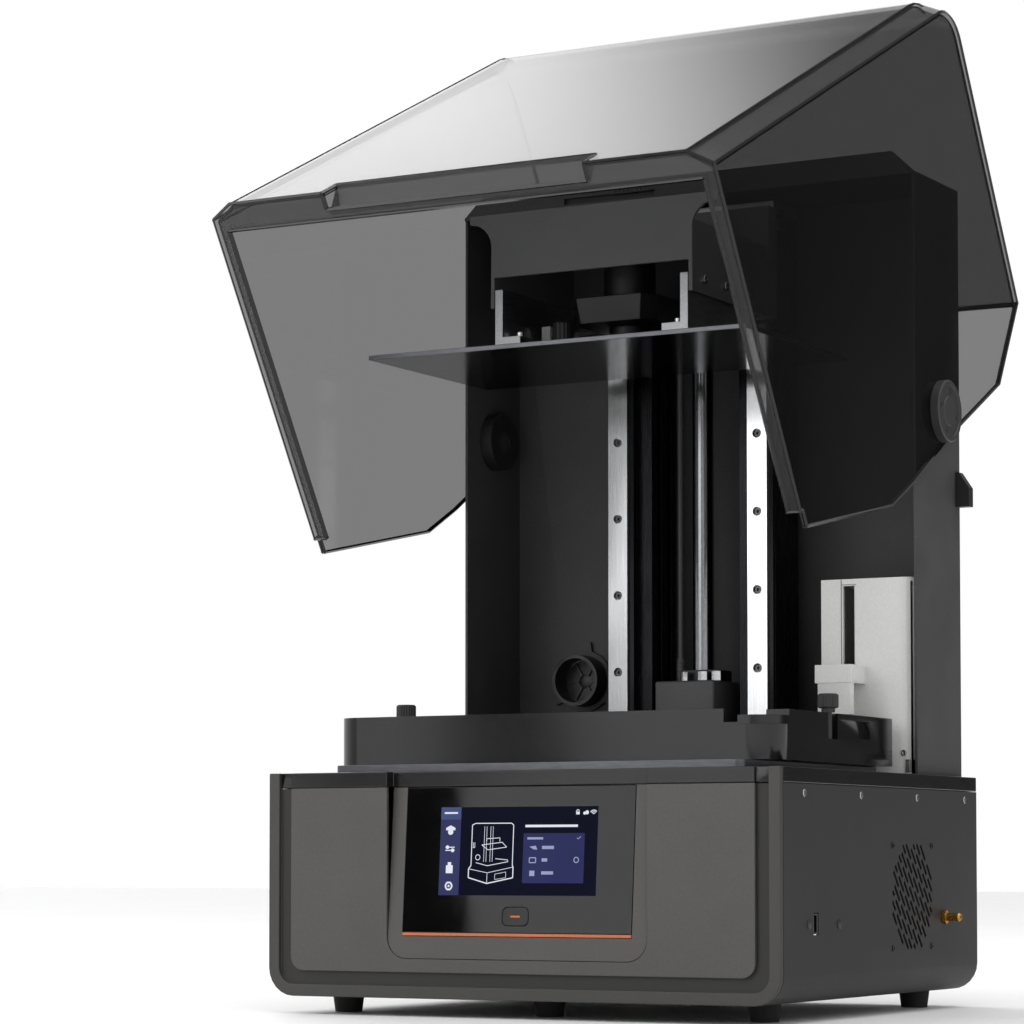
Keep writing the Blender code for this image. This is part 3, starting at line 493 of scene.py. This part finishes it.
# %% Thumb screws
for side, name in ((-1, "left"), (1, "right")):
    bm = bmesh.new()
    x = side * 170.6
    spin(bm, "z", (x, -33), [(177, 2.6), (210.5, 2.6), (210.5, 4.8), (213.5, 4.8)], 20)
    spin(bm, "z", (x, -33), [(213.4, 6.2), (214.2, 7.3), (222.4, 7.3), (223.5, 6.2),
                             (223.5, 4.6), (222.9, 4.2), (222.9, 0.6)], 48, flute=0.55)
    made(f"thumb_screw_{name}_made", bm, slots["knob_plastic"], f"knob_{name}",
         (f"thumb_screw_{name}",))
print("thumb screws: 2, 24 flutes each")

# %% [markdown]
# Each cover hinge ends in a round cap with a raised rim, a sunk face and four small screw
# heads. They turn with the cover.

# %% Hinge caps
HINGE = (127.0, 438.0)
OPEN_TURN = 58
cap_profile = [(177, 7.6), (192.7, 7.6), (192.7, 23), (198.6, 23), (199.5, 22), (199.5, 19.4),
               (198.4, 18.9), (198.4, 11.2), (199.3, 10.6), (199.3, 0.5)]
for side, name in ((-1, "left"), (1, "right")):
    bm = bmesh.new()
    spin(bm, "x", HINGE, [(side * out, radius) for out, radius in cap_profile], 48)
    for k in range(4):
        turn = math.radians(45 + 90 * k - OPEN_TURN)
        spot = (HINGE[0] + 15 * math.cos(turn), HINGE[1] + 15 * math.sin(turn))
        socket_screw(bm, "x", spot, side * 198.0, side, 1.9, 1.3)
    made(f"hinge_cap_{name}_made", bm, slots["cap_plastic"], "cover",
         (f"hinge_cap_{name}",))
print("hinge caps: 2, pin at", tuple(round(v, 3) for v in at(0, *HINGE)))

# %% [markdown]
# The antenna connector is a gilded bulkhead jack: thread rings, a hexagon nut and a shoulder.

# %% Antenna connector
bm = bmesh.new()
jack, rings, pitch = (109, 67), 7, 1.4
profile = [(188, 3.0), (201.3, 3.0)]
for k in range(rings):
    profile += [(201.4 + k * pitch, 2.9), (202.1 + k * pitch, 3.1)]
profile += [(211.4, 2.7), (212, 2.2), (212, 1.2), (206, 1.2)]
spin(bm, "x", jack, profile, 24)
spin(bm, "x", jack, [(198.9, 5.2, 6), (201.2, 5.2, 6)], 24)
made("antenna_connector_made", bm, slots["brass"], "base", ("antenna_connector",))
print("thread rings:", rings)

# %% [markdown]
# Guide rails are bolted down through counterbored holes, one cap screw in each. The heads
# sit just below the ground face, so each hole reads as a dark ring round a bright socket.

# %% Rail screws
bm = bmesh.new()
rail_x, lowest, spacing, per_rail = 58.4, 192.4, 58.6, 7
for side in (-1, 1):
    for k in range(per_rail):
        socket_screw(bm, "y", (side * rail_x, lowest + k * spacing), 97.8, -1, 2.9, 3.0)
made("rail_screws", bm, slots["port_steel"], "base")
print("rail screws:", 2 * per_rail)

# %% [markdown]
# Three plated nuts stand in front of the lower bearing, on top of the motor's cover.

# %% Bearing nuts
bm = bmesh.new()
nuts = ((-5.9, 2.8), (9.6, 4.2), (21, 4.2))
for x, radius in nuts:
    spin(bm, "z", (x, 102), [(243.2, radius, 6), (250.2, radius, 6), (250.6, radius * 0.8)], 24)
made("bearing_nuts", bm, slots["bearing_steel"], "base")
print("bearing nuts:", len(nuts))

# %% [markdown]
# Plated button-head screws hold the side sheets to the deck, along a line 17 mm below the
# top. The fan's four black screws sit on the square of a standard 80 mm fan.

# %% Side screws
WALL = 198.4
bm = bmesh.new()
for side in (-1, 1):
    for y in (-138.6, -43.4, 57.4, 149.7):
        socket_screw(bm, "x", (y, 152.5), side * WALL, side, 2.6, 1.6)
made("side_screws", bm, slots["bearing_steel"], "base")
bm = bmesh.new()
fan_y, fan_z, half_square = 50.3, 82.4, 36
for dy in (-half_square, half_square):
    for dz in (-half_square, half_square):
        socket_screw(bm, "x", (fan_y + dy, fan_z + dz), WALL, 1, 2.4, 0.9)
made("fan_screws", bm, slots["block_steel"], "base")
print("side screws: 8, fan screws: 4 on a", 2 * half_square, "mm square")

# %% [markdown]
# The plate hangs from two aluminium angles. Each is held by two cap screws through its foot,
# and the arm's side sheets carry three more on each side. All move with the carriage.

# %% Arm screws
bm = bmesh.new()
for side in (-1, 1):
    for y in (-50, 34):
        socket_screw(bm, "z", (side * 64, y), 487.3, 1, 3.0, 4.6)
    for y, z in ((-45, 518.6), (-10, 519), (30, 519)):
        socket_screw(bm, "x", (y, z), side * 81.4, side, 3.2, 2.2)
made("arm_screws", bm, slots["bearing_steel"], "carriage")
print("arm screws:", 2 * (2 + 3))

# %% [markdown]
# Inside the arm sit the levelling block, which is wider at its top and turns on a stub, its
# fluted lock knob and a small white cable plug with three ribs.

# %% Levelling block, lock and plug
bm = bmesh.new()
ring = [(-32, -20), (-24, -32), (24, -32), (32, -20), (32, 34), (-32, 34)]
slab(bm, [at(x, y, 497) for x, y in ring], [at(x * 1.1, y * 1.1, 516) for x, y in ring])
spin(bm, "z", (0, 0), [(481.2, 15), (497, 15)], 32)
spin(bm, "z", (0, 0), [(516, 19), (556.8, 19)], 32)
made("levelling_block", bm, slots["fan_plastic"], "carriage", edge=0.8)
bm = bmesh.new()
spin(bm, "z", (-46, -18), [(481.2, 4), (489, 4), (489, 7.5), (501, 7.5), (502, 6.5)], 36,
     flute=0.5)
made("level_lock_knob", bm, slots["knob_plastic"], "carriage")
bm = bmesh.new()
block(bm, (-66, -14, 490), (-59, -6, 501))
for k in range(3):
    block(bm, (-65.6 + 2.2 * k, -14.6, 492), (-64.4 + 2.2 * k, -13.8, 499))
made("cable_plug", bm, slots["white_plastic"], "carriage", edge=0.3)
print("fitted inside the arm: block, lock and plug")

# %% [markdown]
# The sensor's slider has a ribbed side for the thumb, and the housing a thin joint line beside
# and above its slot, where the front shell meets the back one. A bright bracket with one screw
# holds the housing to the column.

# %% Sensor details
bm = bmesh.new()
ribs, rib_pitch = 10, 2.5
for k in range(ribs):
    y = 64 + rib_pitch * k
    block(bm, (146.9, y, 237.4), (147.6, y + 1.2, 249.0))
made("slider_ribs", bm, slots["white_plastic"], "resin_sensor", edge=0.15)
bm = bmesh.new()
block(bm, (127.4, 89.7, 236), (127.9, 90.2, 313.6))
block(bm, (127.4, 89.7, 309.6), (139.4, 90.2, 310.1))
made("sensor_joint_lines", bm, slots["port_steel"], "base")
bm = bmesh.new()
block(bm, (178, 88.2, 172), (181.6, 89.9, 181))
socket_screw(bm, "y", (176.5, 186), 90.0, -1, 2.2, 1.6)
made("sensor_bracket", bm, slots["bearing_steel"], "base", edge=0.2)
print("slider ribs:", ribs)

# %% [markdown]
# Behind the warm-air outlet sits a blower, closed off by a moulded guard of rings and spokes.

# %% Duct guard
bm = bmesh.new()
duct_x, duct_z, spokes = -126, 249.5, 6
spin(bm, "y", (duct_x, duct_z), [(168.5, 17.2), (169.6, 17.2), (169.6, 16.0), (169.0, 15.4),
                                 (169.0, 11.0), (168.6, 10.6), (168.6, 6.0), (168.2, 5.4),
                                 (168.2, 0.4)], 40)
for k in range(spokes):
    turn = 2 * math.pi * k / spokes
    c, s = math.cos(turn), math.sin(turn)
    spoke = [(5, -0.8), (16.5, -0.8), (16.5, 0.8), (5, 0.8)]
    points = [(duct_x + a * c - b * s, duct_z + a * s + b * c) for a, b in spoke]
    slab(bm, [at(x, 166.8, z) for x, z in points], [at(x, 168.9, z) for x, z in points])
made("duct_guard", bm, slots["fan_plastic"], "base")
print("guard spokes:", spokes)

# %% [markdown]
# At the top of the column, a comb of moulded teeth in the header's slot guides the cable over
# the roof, and a black strip behind the slot is painted shade, for the dark seen through
# the slot. Low on the right wall, two small round caps cover setting screws.

# %% Header comb and wall buttons
bm = bmesh.new()
teeth, tooth_pitch = 9, 3.7
for k in range(teeth):
    x = -58 + tooth_pitch * k
    block(bm, (x, 83.6, 617.6), (x + 2.0, 84.6, 624.4))
block(bm, (-60, 84.0, 616.6), (-25, 84.6, 617.8))
made("cable_comb", bm, slots["motor_cover"], "base", edge=0.15)
bm = bmesh.new()
for y, z in ((-130, 65.5), (-80, 64.7)):
    spin(bm, "x", (y, z), [(WALL, 3.2), (199.0, 3.2), (199.5, 2.4), (199.5, 0.4)], 24)
made("wall_buttons", bm, slots["cap_plastic"], "base")
# painted shade: a black strip behind the header slot for the dark seen through it
bm = bmesh.new()
block(bm, (-104, 86.8, 610.2), (-18, 88, 619))
made("slot_painted_shade", bm, slots["black_plastic"], "base")
print("comb teeth:", teeth)

# %% [markdown]
# The cover is formed acrylic. Its sheet dims what is behind, but its ridges and cut edges
# look black, because light enters an edge and is trapped along the sheet. That black is
# painted shade: the sheet is the solid's own faces, and its narrow rim faces wear a near-black
# painted shade. A rim is narrow where its area is small for its outline.

# %% Smoke cover
NARROW = 1.9 * MM


def narrow(face):
    points = [cover.data.vertices[i].co for i in face.vertices]
    around = sum((a - b).length for a, b in zip(points, points[1:] + points[:1]))
    return face.area / around < NARROW


cover = clean_copy("cover_shell", 0.0)
cover.data.materials.clear()
cover.data.materials.append(slots["smoke_acrylic"])
# the narrow rim faces wear the near-black painted shade
rim_faces = second_finish(cover.data, edge_painted_shade, narrow)
finish_piece(cover, "cover", ("cover_shell",))
print("rim faces:", rim_faces)

# %% [markdown]
# Every fold of the sheet also shows as a dark line, which is drawn as painted shade. A
# four-sided sliver of the near-black painted shade, a millimetre thick, is laid along the
# inside of each ridge, and stands a fifth of a millimetre proud so that it is seen from both
# sides.

# %% Cover fold lines of painted shade
FOLD = math.radians(16)
thick, proud, shortest = 1.0 * MM, 0.2 * MM, 1.0 * MM
source = bmesh.new()
source.from_mesh(cover.data)
bm = bmesh.new()
ridges = 0
for edge in source.edges:
    a, b = edge.verts[0].co, edge.verts[1].co
    folded = len(edge.link_faces) == 2 and edge.calc_face_angle() >= FOLD
    if not folded or (b - a).length < shortest:
        continue
    inward = -(edge.link_faces[0].normal + edge.link_faces[1].normal).normalized()
    across = (b - a).normalized().cross(inward)
    ring = [across * thick - inward * proud, -across * thick - inward * proud,
            inward * thick - across * thick, inward * thick + across * thick]
    slab(bm, [a + p for p in ring], [b + p for p in ring])
    ridges += 1
source.free()
# painted shade: dark slivers along the cover's folds
made("cover_fold_shade_lines", bm, edge_painted_shade, "cover", smooth=False)
print("ridge lines:", ridges)

# %% [markdown]
# The display is an LCD bonded behind the glass. When lit, its picture glows through, so each
# shape of the picture is a hair-thin plate with an emitting finish, laid on the leaning glass.
# The picture is generic: a side bar with four signs, a line drawing of a printer with its
# cover, a heading bar and a card with three rows. It holds no words.

# %% Display finishes
def lit(name, dark, pale):
    """A glowing picture tone, with the faint unevenness of a backlight."""
    material = start(name, "020202", 0.3, IOR=1.5, Emission_Strength=1.0,
                     Specular_IOR_Level=0.03)
    tree, surface = surface_of(material)
    place = add(tree, "ShaderNodeTexCoord")
    uneven = add(tree, "ShaderNodeTexNoise", {"Scale": 30.0}, Vector=place.outputs["Object"])
    tone = add(tree, "ShaderNodeMix", {"data_type": "RGBA"}, Factor=uneven.outputs["Fac"])
    tone.inputs[6].default_value, tone.inputs[7].default_value = linear(dark), linear(pale)
    tree.links.new(tone.outputs[2], surface.inputs["Emission Color"])
    return material


tones = {
    "ground": lit("lit_navy", "090a1b", "0d0f24"),
    "bar": lit("lit_slate", "30345a", "3a3e66"),
    "card": lit("lit_indigo", "292c55", "333661"),
    "label": lit("lit_steel_blue", "3e4b78", "4c5a88"),
    "white": lit("lit_white", "d8dbe8", "f0f2fa"),
    "dim": lit("lit_lavender", "8d92b4", "a5aacb"),
    "orange": lit("lit_amber", "c4602f", "e8905c"),
}
print("display tones:", list(tones))

# %% [markdown]
# The glass leans back 9 mm over its height. A picture point is given as a share across and
# a share down, and one function puts it on the glass.

# %% Picture points
SCREEN_WIDE, SCREEN_TALL, SCREEN_TOP = 122.4, 60.7, 104.5
ASPECT, HAIR = 2.02, 0.03


def on_glass(x, up, out):
    """A point up the leaning glass, out millimetres proud of the housing's face."""
    lean, rise = 9 / 118.84, 118.5 / 118.84
    return at(x, -175 + lean * up - rise * out, 40.3 + rise * up + lean * out)


def on_picture(u, v, out):
    """A picture point, from its shares across and down."""
    return on_glass((u - 0.5) * SCREEN_WIDE, SCREEN_TOP - SCREEN_TALL * v, out)


def plate(bm, points, level, place=on_picture):
    """A hair-thin picture shape; level lifts it over the one below."""
    low = 0.31 + HAIR * level
    slab(bm, [place(u, v, low) for u, v in points], [place(u, v, low + HAIR) for u, v in points])


print("display spans", SCREEN_WIDE, "by", SCREEN_TALL, "mm")

# %% [markdown]
# Pictures on a screen are drawn with few kinds of mark. These three draw on hair-thin plates:
# a line through points, an upright rectangle and a round sign. The screen is twice as wide as
# it is tall, so shares across are worth twice as much as shares down.

# %% Picture marks
def stroke(bm, points, width=0.006, level=2):
    """A line through picture points, as a run of thin plates."""
    half = width * 0.62
    for (u0, v0), (u1, v1) in zip(points, points[1:]):
        du, dv = (u1 - u0) * ASPECT, v1 - v0
        size = math.hypot(du, dv) or 1
        a, b = -dv / size * half / ASPECT, du / size * half
        plate(bm, [(u0 + a, v0 + b), (u1 + a, v1 + b), (u1 - a, v1 - b), (u0 - a, v0 - b)], level)


def tile(bm, u0, u1, v0, v1, level):
    plate(bm, [(u0, v1), (u1, v1), (u1, v0), (u0, v0)], level)


def disc(u, v, r, count=16, first=0.0, last=360.0):
    """Points of a round sign, r as a share down."""
    turns = [math.radians(first + (last - first) * i / count) for i in range(count)]
    return [(u + r / ASPECT * math.cos(t), v + r * math.sin(t)) for t in turns]


print("a round sign of share 0.05 is", round(0.1 * SCREEN_TALL, 1), "mm across")

# %% [markdown]
# The picture starts from its areas, laid like paper: the ground, the side bar, the label at
# the bar's top and the card on the right.

# %% Display areas
for name, tone, area, level in (
    ("ground", "ground", (0, 1, 0, 1), 0),
    ("side_bar", "bar", (0, 0.13, 0, 1), 1),
    ("label", "label", (0, 0.13, 0, 0.14), 2),
    ("card", "card", (0.535, 0.92, 0.30, 0.86), 1),
):
    bm = bmesh.new()
    tile(bm, *area, level)
    made(f"display_{name}", bm, tones[tone], "base", smooth=False)
print("display areas: 4")

# %% [markdown]
# White signs lie on top. Down the side bar come a dash, a print cap, two sliders, a bottle and
# a cog. Along the top right are a lock, a cloud and three arcs of signal, over a heading bar.

# %% Display signs
bm = bmesh.new()
tile(bm, 0.022, 0.108, 0.055, 0.075, 3)
plate(bm, [(0.035, 0.235), (0.065, 0.205), (0.095, 0.235), (0.095, 0.262), (0.035, 0.262)], 3)
plate(bm, disc(0.065, 0.28, 0.035), 3)
for v, knob in ((0.455, 0.048), (0.49, 0.082)):
    stroke(bm, [(0.035, v), (0.095, v)], 0.009, 3)
    plate(bm, disc(knob, v, 0.022), 3)
tile(bm, 0.043, 0.087, 0.66, 0.75, 3)
tile(bm, 0.054, 0.076, 0.625, 0.66, 3)
ring = disc(0.065, 0.895, 0.045, 6)
stroke(bm, ring + ring[:1], 0.016, 3)
plate(bm, disc(0.065, 0.895, 0.014), 3)
tile(bm, 0.862, 0.884, 0.06, 0.092, 3)
stroke(bm, disc(0.873, 0.06, 0.02, 8, 180, 360), 0.007, 3)
plate(bm, disc(0.915, 0.078, 0.018), 3)
plate(bm, disc(0.930, 0.070, 0.023), 3)
for r in (0.014, 0.032, 0.05):
    stroke(bm, disc(0.972, 0.095, r, 8, 215, 335), 0.008, 3)
tile(bm, 0.545, 0.875, 0.205, 0.232, 3)
made("display_signs", bm, tones["white"], "base", smooth=False)
print("display signs drawn: 9")

# %% [markdown]
# The line drawing on the display shows the machine itself: the closed cover as a tall frame,
# the base as a box in three-quarter view, and the column, plate and vat between them.

# %% Display line drawing
bm = bmesh.new()
left, right, mid = 0.19, 0.475, 0.31
stroke(bm, [(0.205, 0.66), (0.205, 0.205), (0.225, 0.185), (0.455, 0.185), (0.470, 0.205),
            (0.470, 0.66)], 0.008)
stroke(bm, [(0.205, 0.66), (left, 0.70), (left, 0.80), (mid, 0.865), (right, 0.80),
            (right, 0.68), (0.470, 0.66)], 0.010)
stroke(bm, [(left, 0.70), (mid, 0.745), (right, 0.68)], 0.005)
stroke(bm, [(mid, 0.745), (mid, 0.865)], 0.005)
for u in (0.285, 0.30, 0.325, 0.34):
    stroke(bm, [(u, 0.22), (u, 0.62)], 0.004)
stroke(bm, [(0.27, 0.43), (0.40, 0.40), (0.43, 0.455), (0.31, 0.485), (0.27, 0.43)], 0.006)
stroke(bm, [(0.30, 0.39), (0.30, 0.36), (0.385, 0.35), (0.385, 0.39)], 0.006)
stroke(bm, [(0.235, 0.63), (0.31, 0.665), (0.44, 0.62), (0.44, 0.60), (0.36, 0.585)], 0.006)
ring = disc(0.247, 0.57, 0.03, 10)
stroke(bm, ring + ring[:1], 0.006)
stroke(bm, [(0.215, 0.40), (0.215, 0.46), (0.225, 0.46), (0.225, 0.40)], 0.005)
stroke(bm, [(0.36, 0.76), (0.36, 0.82), (0.43, 0.80), (0.43, 0.735), (0.36, 0.76)], 0.004)
made("display_drawing", bm, tones["white"], "base", smooth=False)
print("line drawing spans shares", left, "to", right)

# %% [markdown]
# The card holds a short heading with a tick, and three rows, each a small sign and a bar that
# stands for a word. They are lavender, so they sit back from the white signs.

# %% Display rows
rows = (0.46, 0.60, 0.745)
bm = bmesh.new()
tile(bm, 0.56, 0.66, 0.345, 0.37, 3)
stroke(bm, [(0.872, 0.352), (0.881, 0.365), (0.897, 0.338)], 0.007, 3)
for v, bar_end in zip(rows, (0.73, 0.69, 0.73)):
    tile(bm, 0.655, bar_end, v - 0.018, v + 0.018, 3)
plate(bm, [(0.575, 0.45), (0.615, 0.44), (0.625, 0.485), (0.60, 0.48)], 3)
stroke(bm, [(0.577, 0.575), (0.617, 0.575), (0.617, 0.63), (0.577, 0.63), (0.577, 0.575)],
       0.009, 3)
tile(bm, 0.58, 0.612, 0.72, 0.78, 3)
ring = disc(0.872, 0.60, 0.03, 12)
stroke(bm, ring + ring[:1], 0.010, 3)
made("display_rows", bm, tones["dim"], "base", smooth=False)
print("display rows:", len(rows))

# %% [markdown]
# The power button is a soft-cornered key flush with the glass, marked by one amber dash.

# %% Button dash
bm = bmesh.new()
plate(bm, [(-3.6, 28.9), (3.6, 28.9), (3.6, 30.1), (-3.6, 30.1)], 4, on_glass)
made("button_dash", bm, tones["orange"], "button", smooth=False)
print("amber dash set in the button")

# %% [markdown]
# The set is a white sweep: a pale floor and a sky that is white all round, changed in four
# directions. High on the far left it glows, and the tilted cover mirrors that as a long
# gradient. Above that it is dim, so the gradient ends in grey. Far to the right it is dark,
# which gives gloss on the right side its depth, and behind the camera it is a little dimmer,
# so that the front faces keep their tone. Each change is a round lobe of the sky.

# %% Sky lobes
world = bpy.data.worlds.new("studio_sky")
scene.world = world
world.use_nodes = True
sky = world.node_tree
backing = sky.nodes["Background"]
where = add(sky, "ShaderNodeTexCoord")


def lobe(azimuth, elevation, inner, outer, low, high):
    """1 inside the inner angle of a direction, falling to 0 at the outer one, scaled."""
    a, e = math.radians(azimuth), math.radians(elevation)
    aim = (math.sin(a) * math.cos(e), math.cos(a) * math.cos(e), math.sin(e))
    dot = add(sky, "ShaderNodeVectorMath", {"operation": "DOT_PRODUCT"},
              Vector=where.outputs["Generated"])
    dot.inputs[1].default_value = aim
    return add(sky, "ShaderNodeMapRange",
               {"interpolation_type": "SMOOTHSTEP", "From Min": math.cos(math.radians(outer)),
                "From Max": math.cos(math.radians(inner)), "To Min": low, "To Max": high},
               Value=dot.outputs["Value"]).outputs["Result"]


glow = lobe(-52, 31, 14.0, 22.0, 0.0, 2.4)
high = lobe(-24, 44, 10, 25, 1.0, 0.12)
shade = lobe(34, 8, 22, 48, 1.0, 0.06)
front = lobe(205, 15, 20, 60, 1.0, 0.55)
print("sky lobes:", 4)

# %% [markdown]
# The three dim lobes multiply the white sky, and the glow is added last, so that nothing
# dims it.

# %% Sky strength
strength = shade
for operation, other in (("MULTIPLY", front), ("MULTIPLY", high), ("ADD", glow)):
    step = add(sky, "ShaderNodeMath", {"operation": operation})
    sky.links.new(strength, step.inputs[0])
    sky.links.new(other, step.inputs[1])
    strength = step.outputs[0]
backing.inputs["Color"].default_value = (1.0, 1.0, 1.0, 1.0)
sky.links.new(strength, backing.inputs["Strength"])
print("sky nodes:", len(sky.nodes))

# %% [markdown]
# The floor is one big pale sheet of painted board.

# %% Floor
def sheet(name, corners, material):
    """A flat sheet of the set, from its corners in metres."""
    bm = bmesh.new()
    bm.faces.new([bm.verts.new(c) for c in corners])
    mesh = bpy.data.meshes.new(name)
    bm.to_mesh(mesh)
    bm.free()
    mesh.materials.append(material)
    obj = bpy.data.objects.new(name, mesh)
    scene.collection.objects.link(obj)
    return obj


half_floor = 9
floor_paint = grain(start("white_sweep", "f8f8f8", 0.6), 400.0, 0.0, "f7f7f7", "fbfbfb",
                    (0.55, 0.7))
sheet("floor", [(-half_floor, -half_floor, 0), (half_floor, -half_floor, 0),
                (half_floor, half_floor, 0), (-half_floor, half_floor, 0)], floor_paint)
print("floor:", 2 * half_floor, "m square")

# %% [markdown]
# Polished metal and glass show what stands in front of them. A white card ahead and to the
# left lights the ground rails, a dim card below it gives the touch glass a soft sheen, and a
# black flag before that leaves the glass's left end dark. They are seen only in reflections.

# %% Cards and flag
card_light = start("white_card", "ffffff", 0.8, Emission_Color=(1, 1, 1, 1),
                   Emission_Strength=1.25)
dim_light = start("grey_card", "ffffff", 0.8, Emission_Color=(1, 1, 1, 1),
                  Emission_Strength=0.42)
flag_cloth = start("black_flag", "010101", 1.0, Specular_IOR_Level=0.0)
for name, corners, material in (
    ("card", [(-0.81, -1.47, 0.43), (0.0, -1.75, 0.43),
              (0.0, -1.75, 1.6), (-0.86, -1.47, 1.6)], card_light),
    ("low_card", [(-1.3, -1.475, 0.0), (0.0, -1.76, 0.0),
                  (0.0, -1.76, 0.43), (-1.3, -1.475, 0.43)], dim_light),
    ("flag", [(-1.0, -1.46, 0.15), (-0.76, -1.46, 0.15),
              (-0.805, -1.46, 0.41), (-1.0, -1.46, 0.41)], flag_cloth),
):
    obj = sheet(name, corners, material)
    obj.visible_camera = False
    obj.visible_diffuse = False
    obj.visible_shadow = False
print("cards: 2, flag: 1")

# %% [markdown]
# One large soft key from the front left models the front faces, and a broad overhead light
# lifts the floor to white. Both are hidden from the camera.

# %% Lights
for name, spot, aim, size, power in (
    ("key", (-1.6, -2.4, 1.7), (0, 0, 0.3), 1.6, 16.0),
    ("overhead", (0.0, -0.2, 2.6), (0, 0, 0), 3.0, 29.0),
):
    light = bpy.data.lights.new(name, "AREA")
    light.size, light.energy = size, power
    obj = bpy.data.objects.new(name, light)
    obj.location = spot
    obj.rotation_euler = (Vector(aim) - Vector(spot)).to_track_quat("-Z", "Y").to_euler()
    obj.visible_camera = False
    scene.collection.objects.link(obj)
print("lights: key, overhead")

# %% [markdown]
# The camera stands low, 2.4 m away in front and to the right of the machine, with a long lens.
# Its frame is shifted up rather than tilted, which keeps upright edges nearly upright. A plain
# transfer curve keeps paint colours as charted.

# %% Camera
lens = bpy.data.cameras.new("view")
lens.sensor_width = 36.0
lens.lens = 116.08805
lens.shift_x, lens.shift_y = -0.0007, 0.18445
lens.clip_start = 0.05
camera = bpy.data.objects.new("view", lens)
camera.location = (1.090, -2.1538, 0.1069)
camera.rotation_euler = (math.radians(92.7916), 0, math.radians(29.1173))
scene.collection.objects.link(camera)
scene.camera = camera
scene.view_settings.view_transform = "Standard"
print("lens", round(lens.lens, 1), "mm")
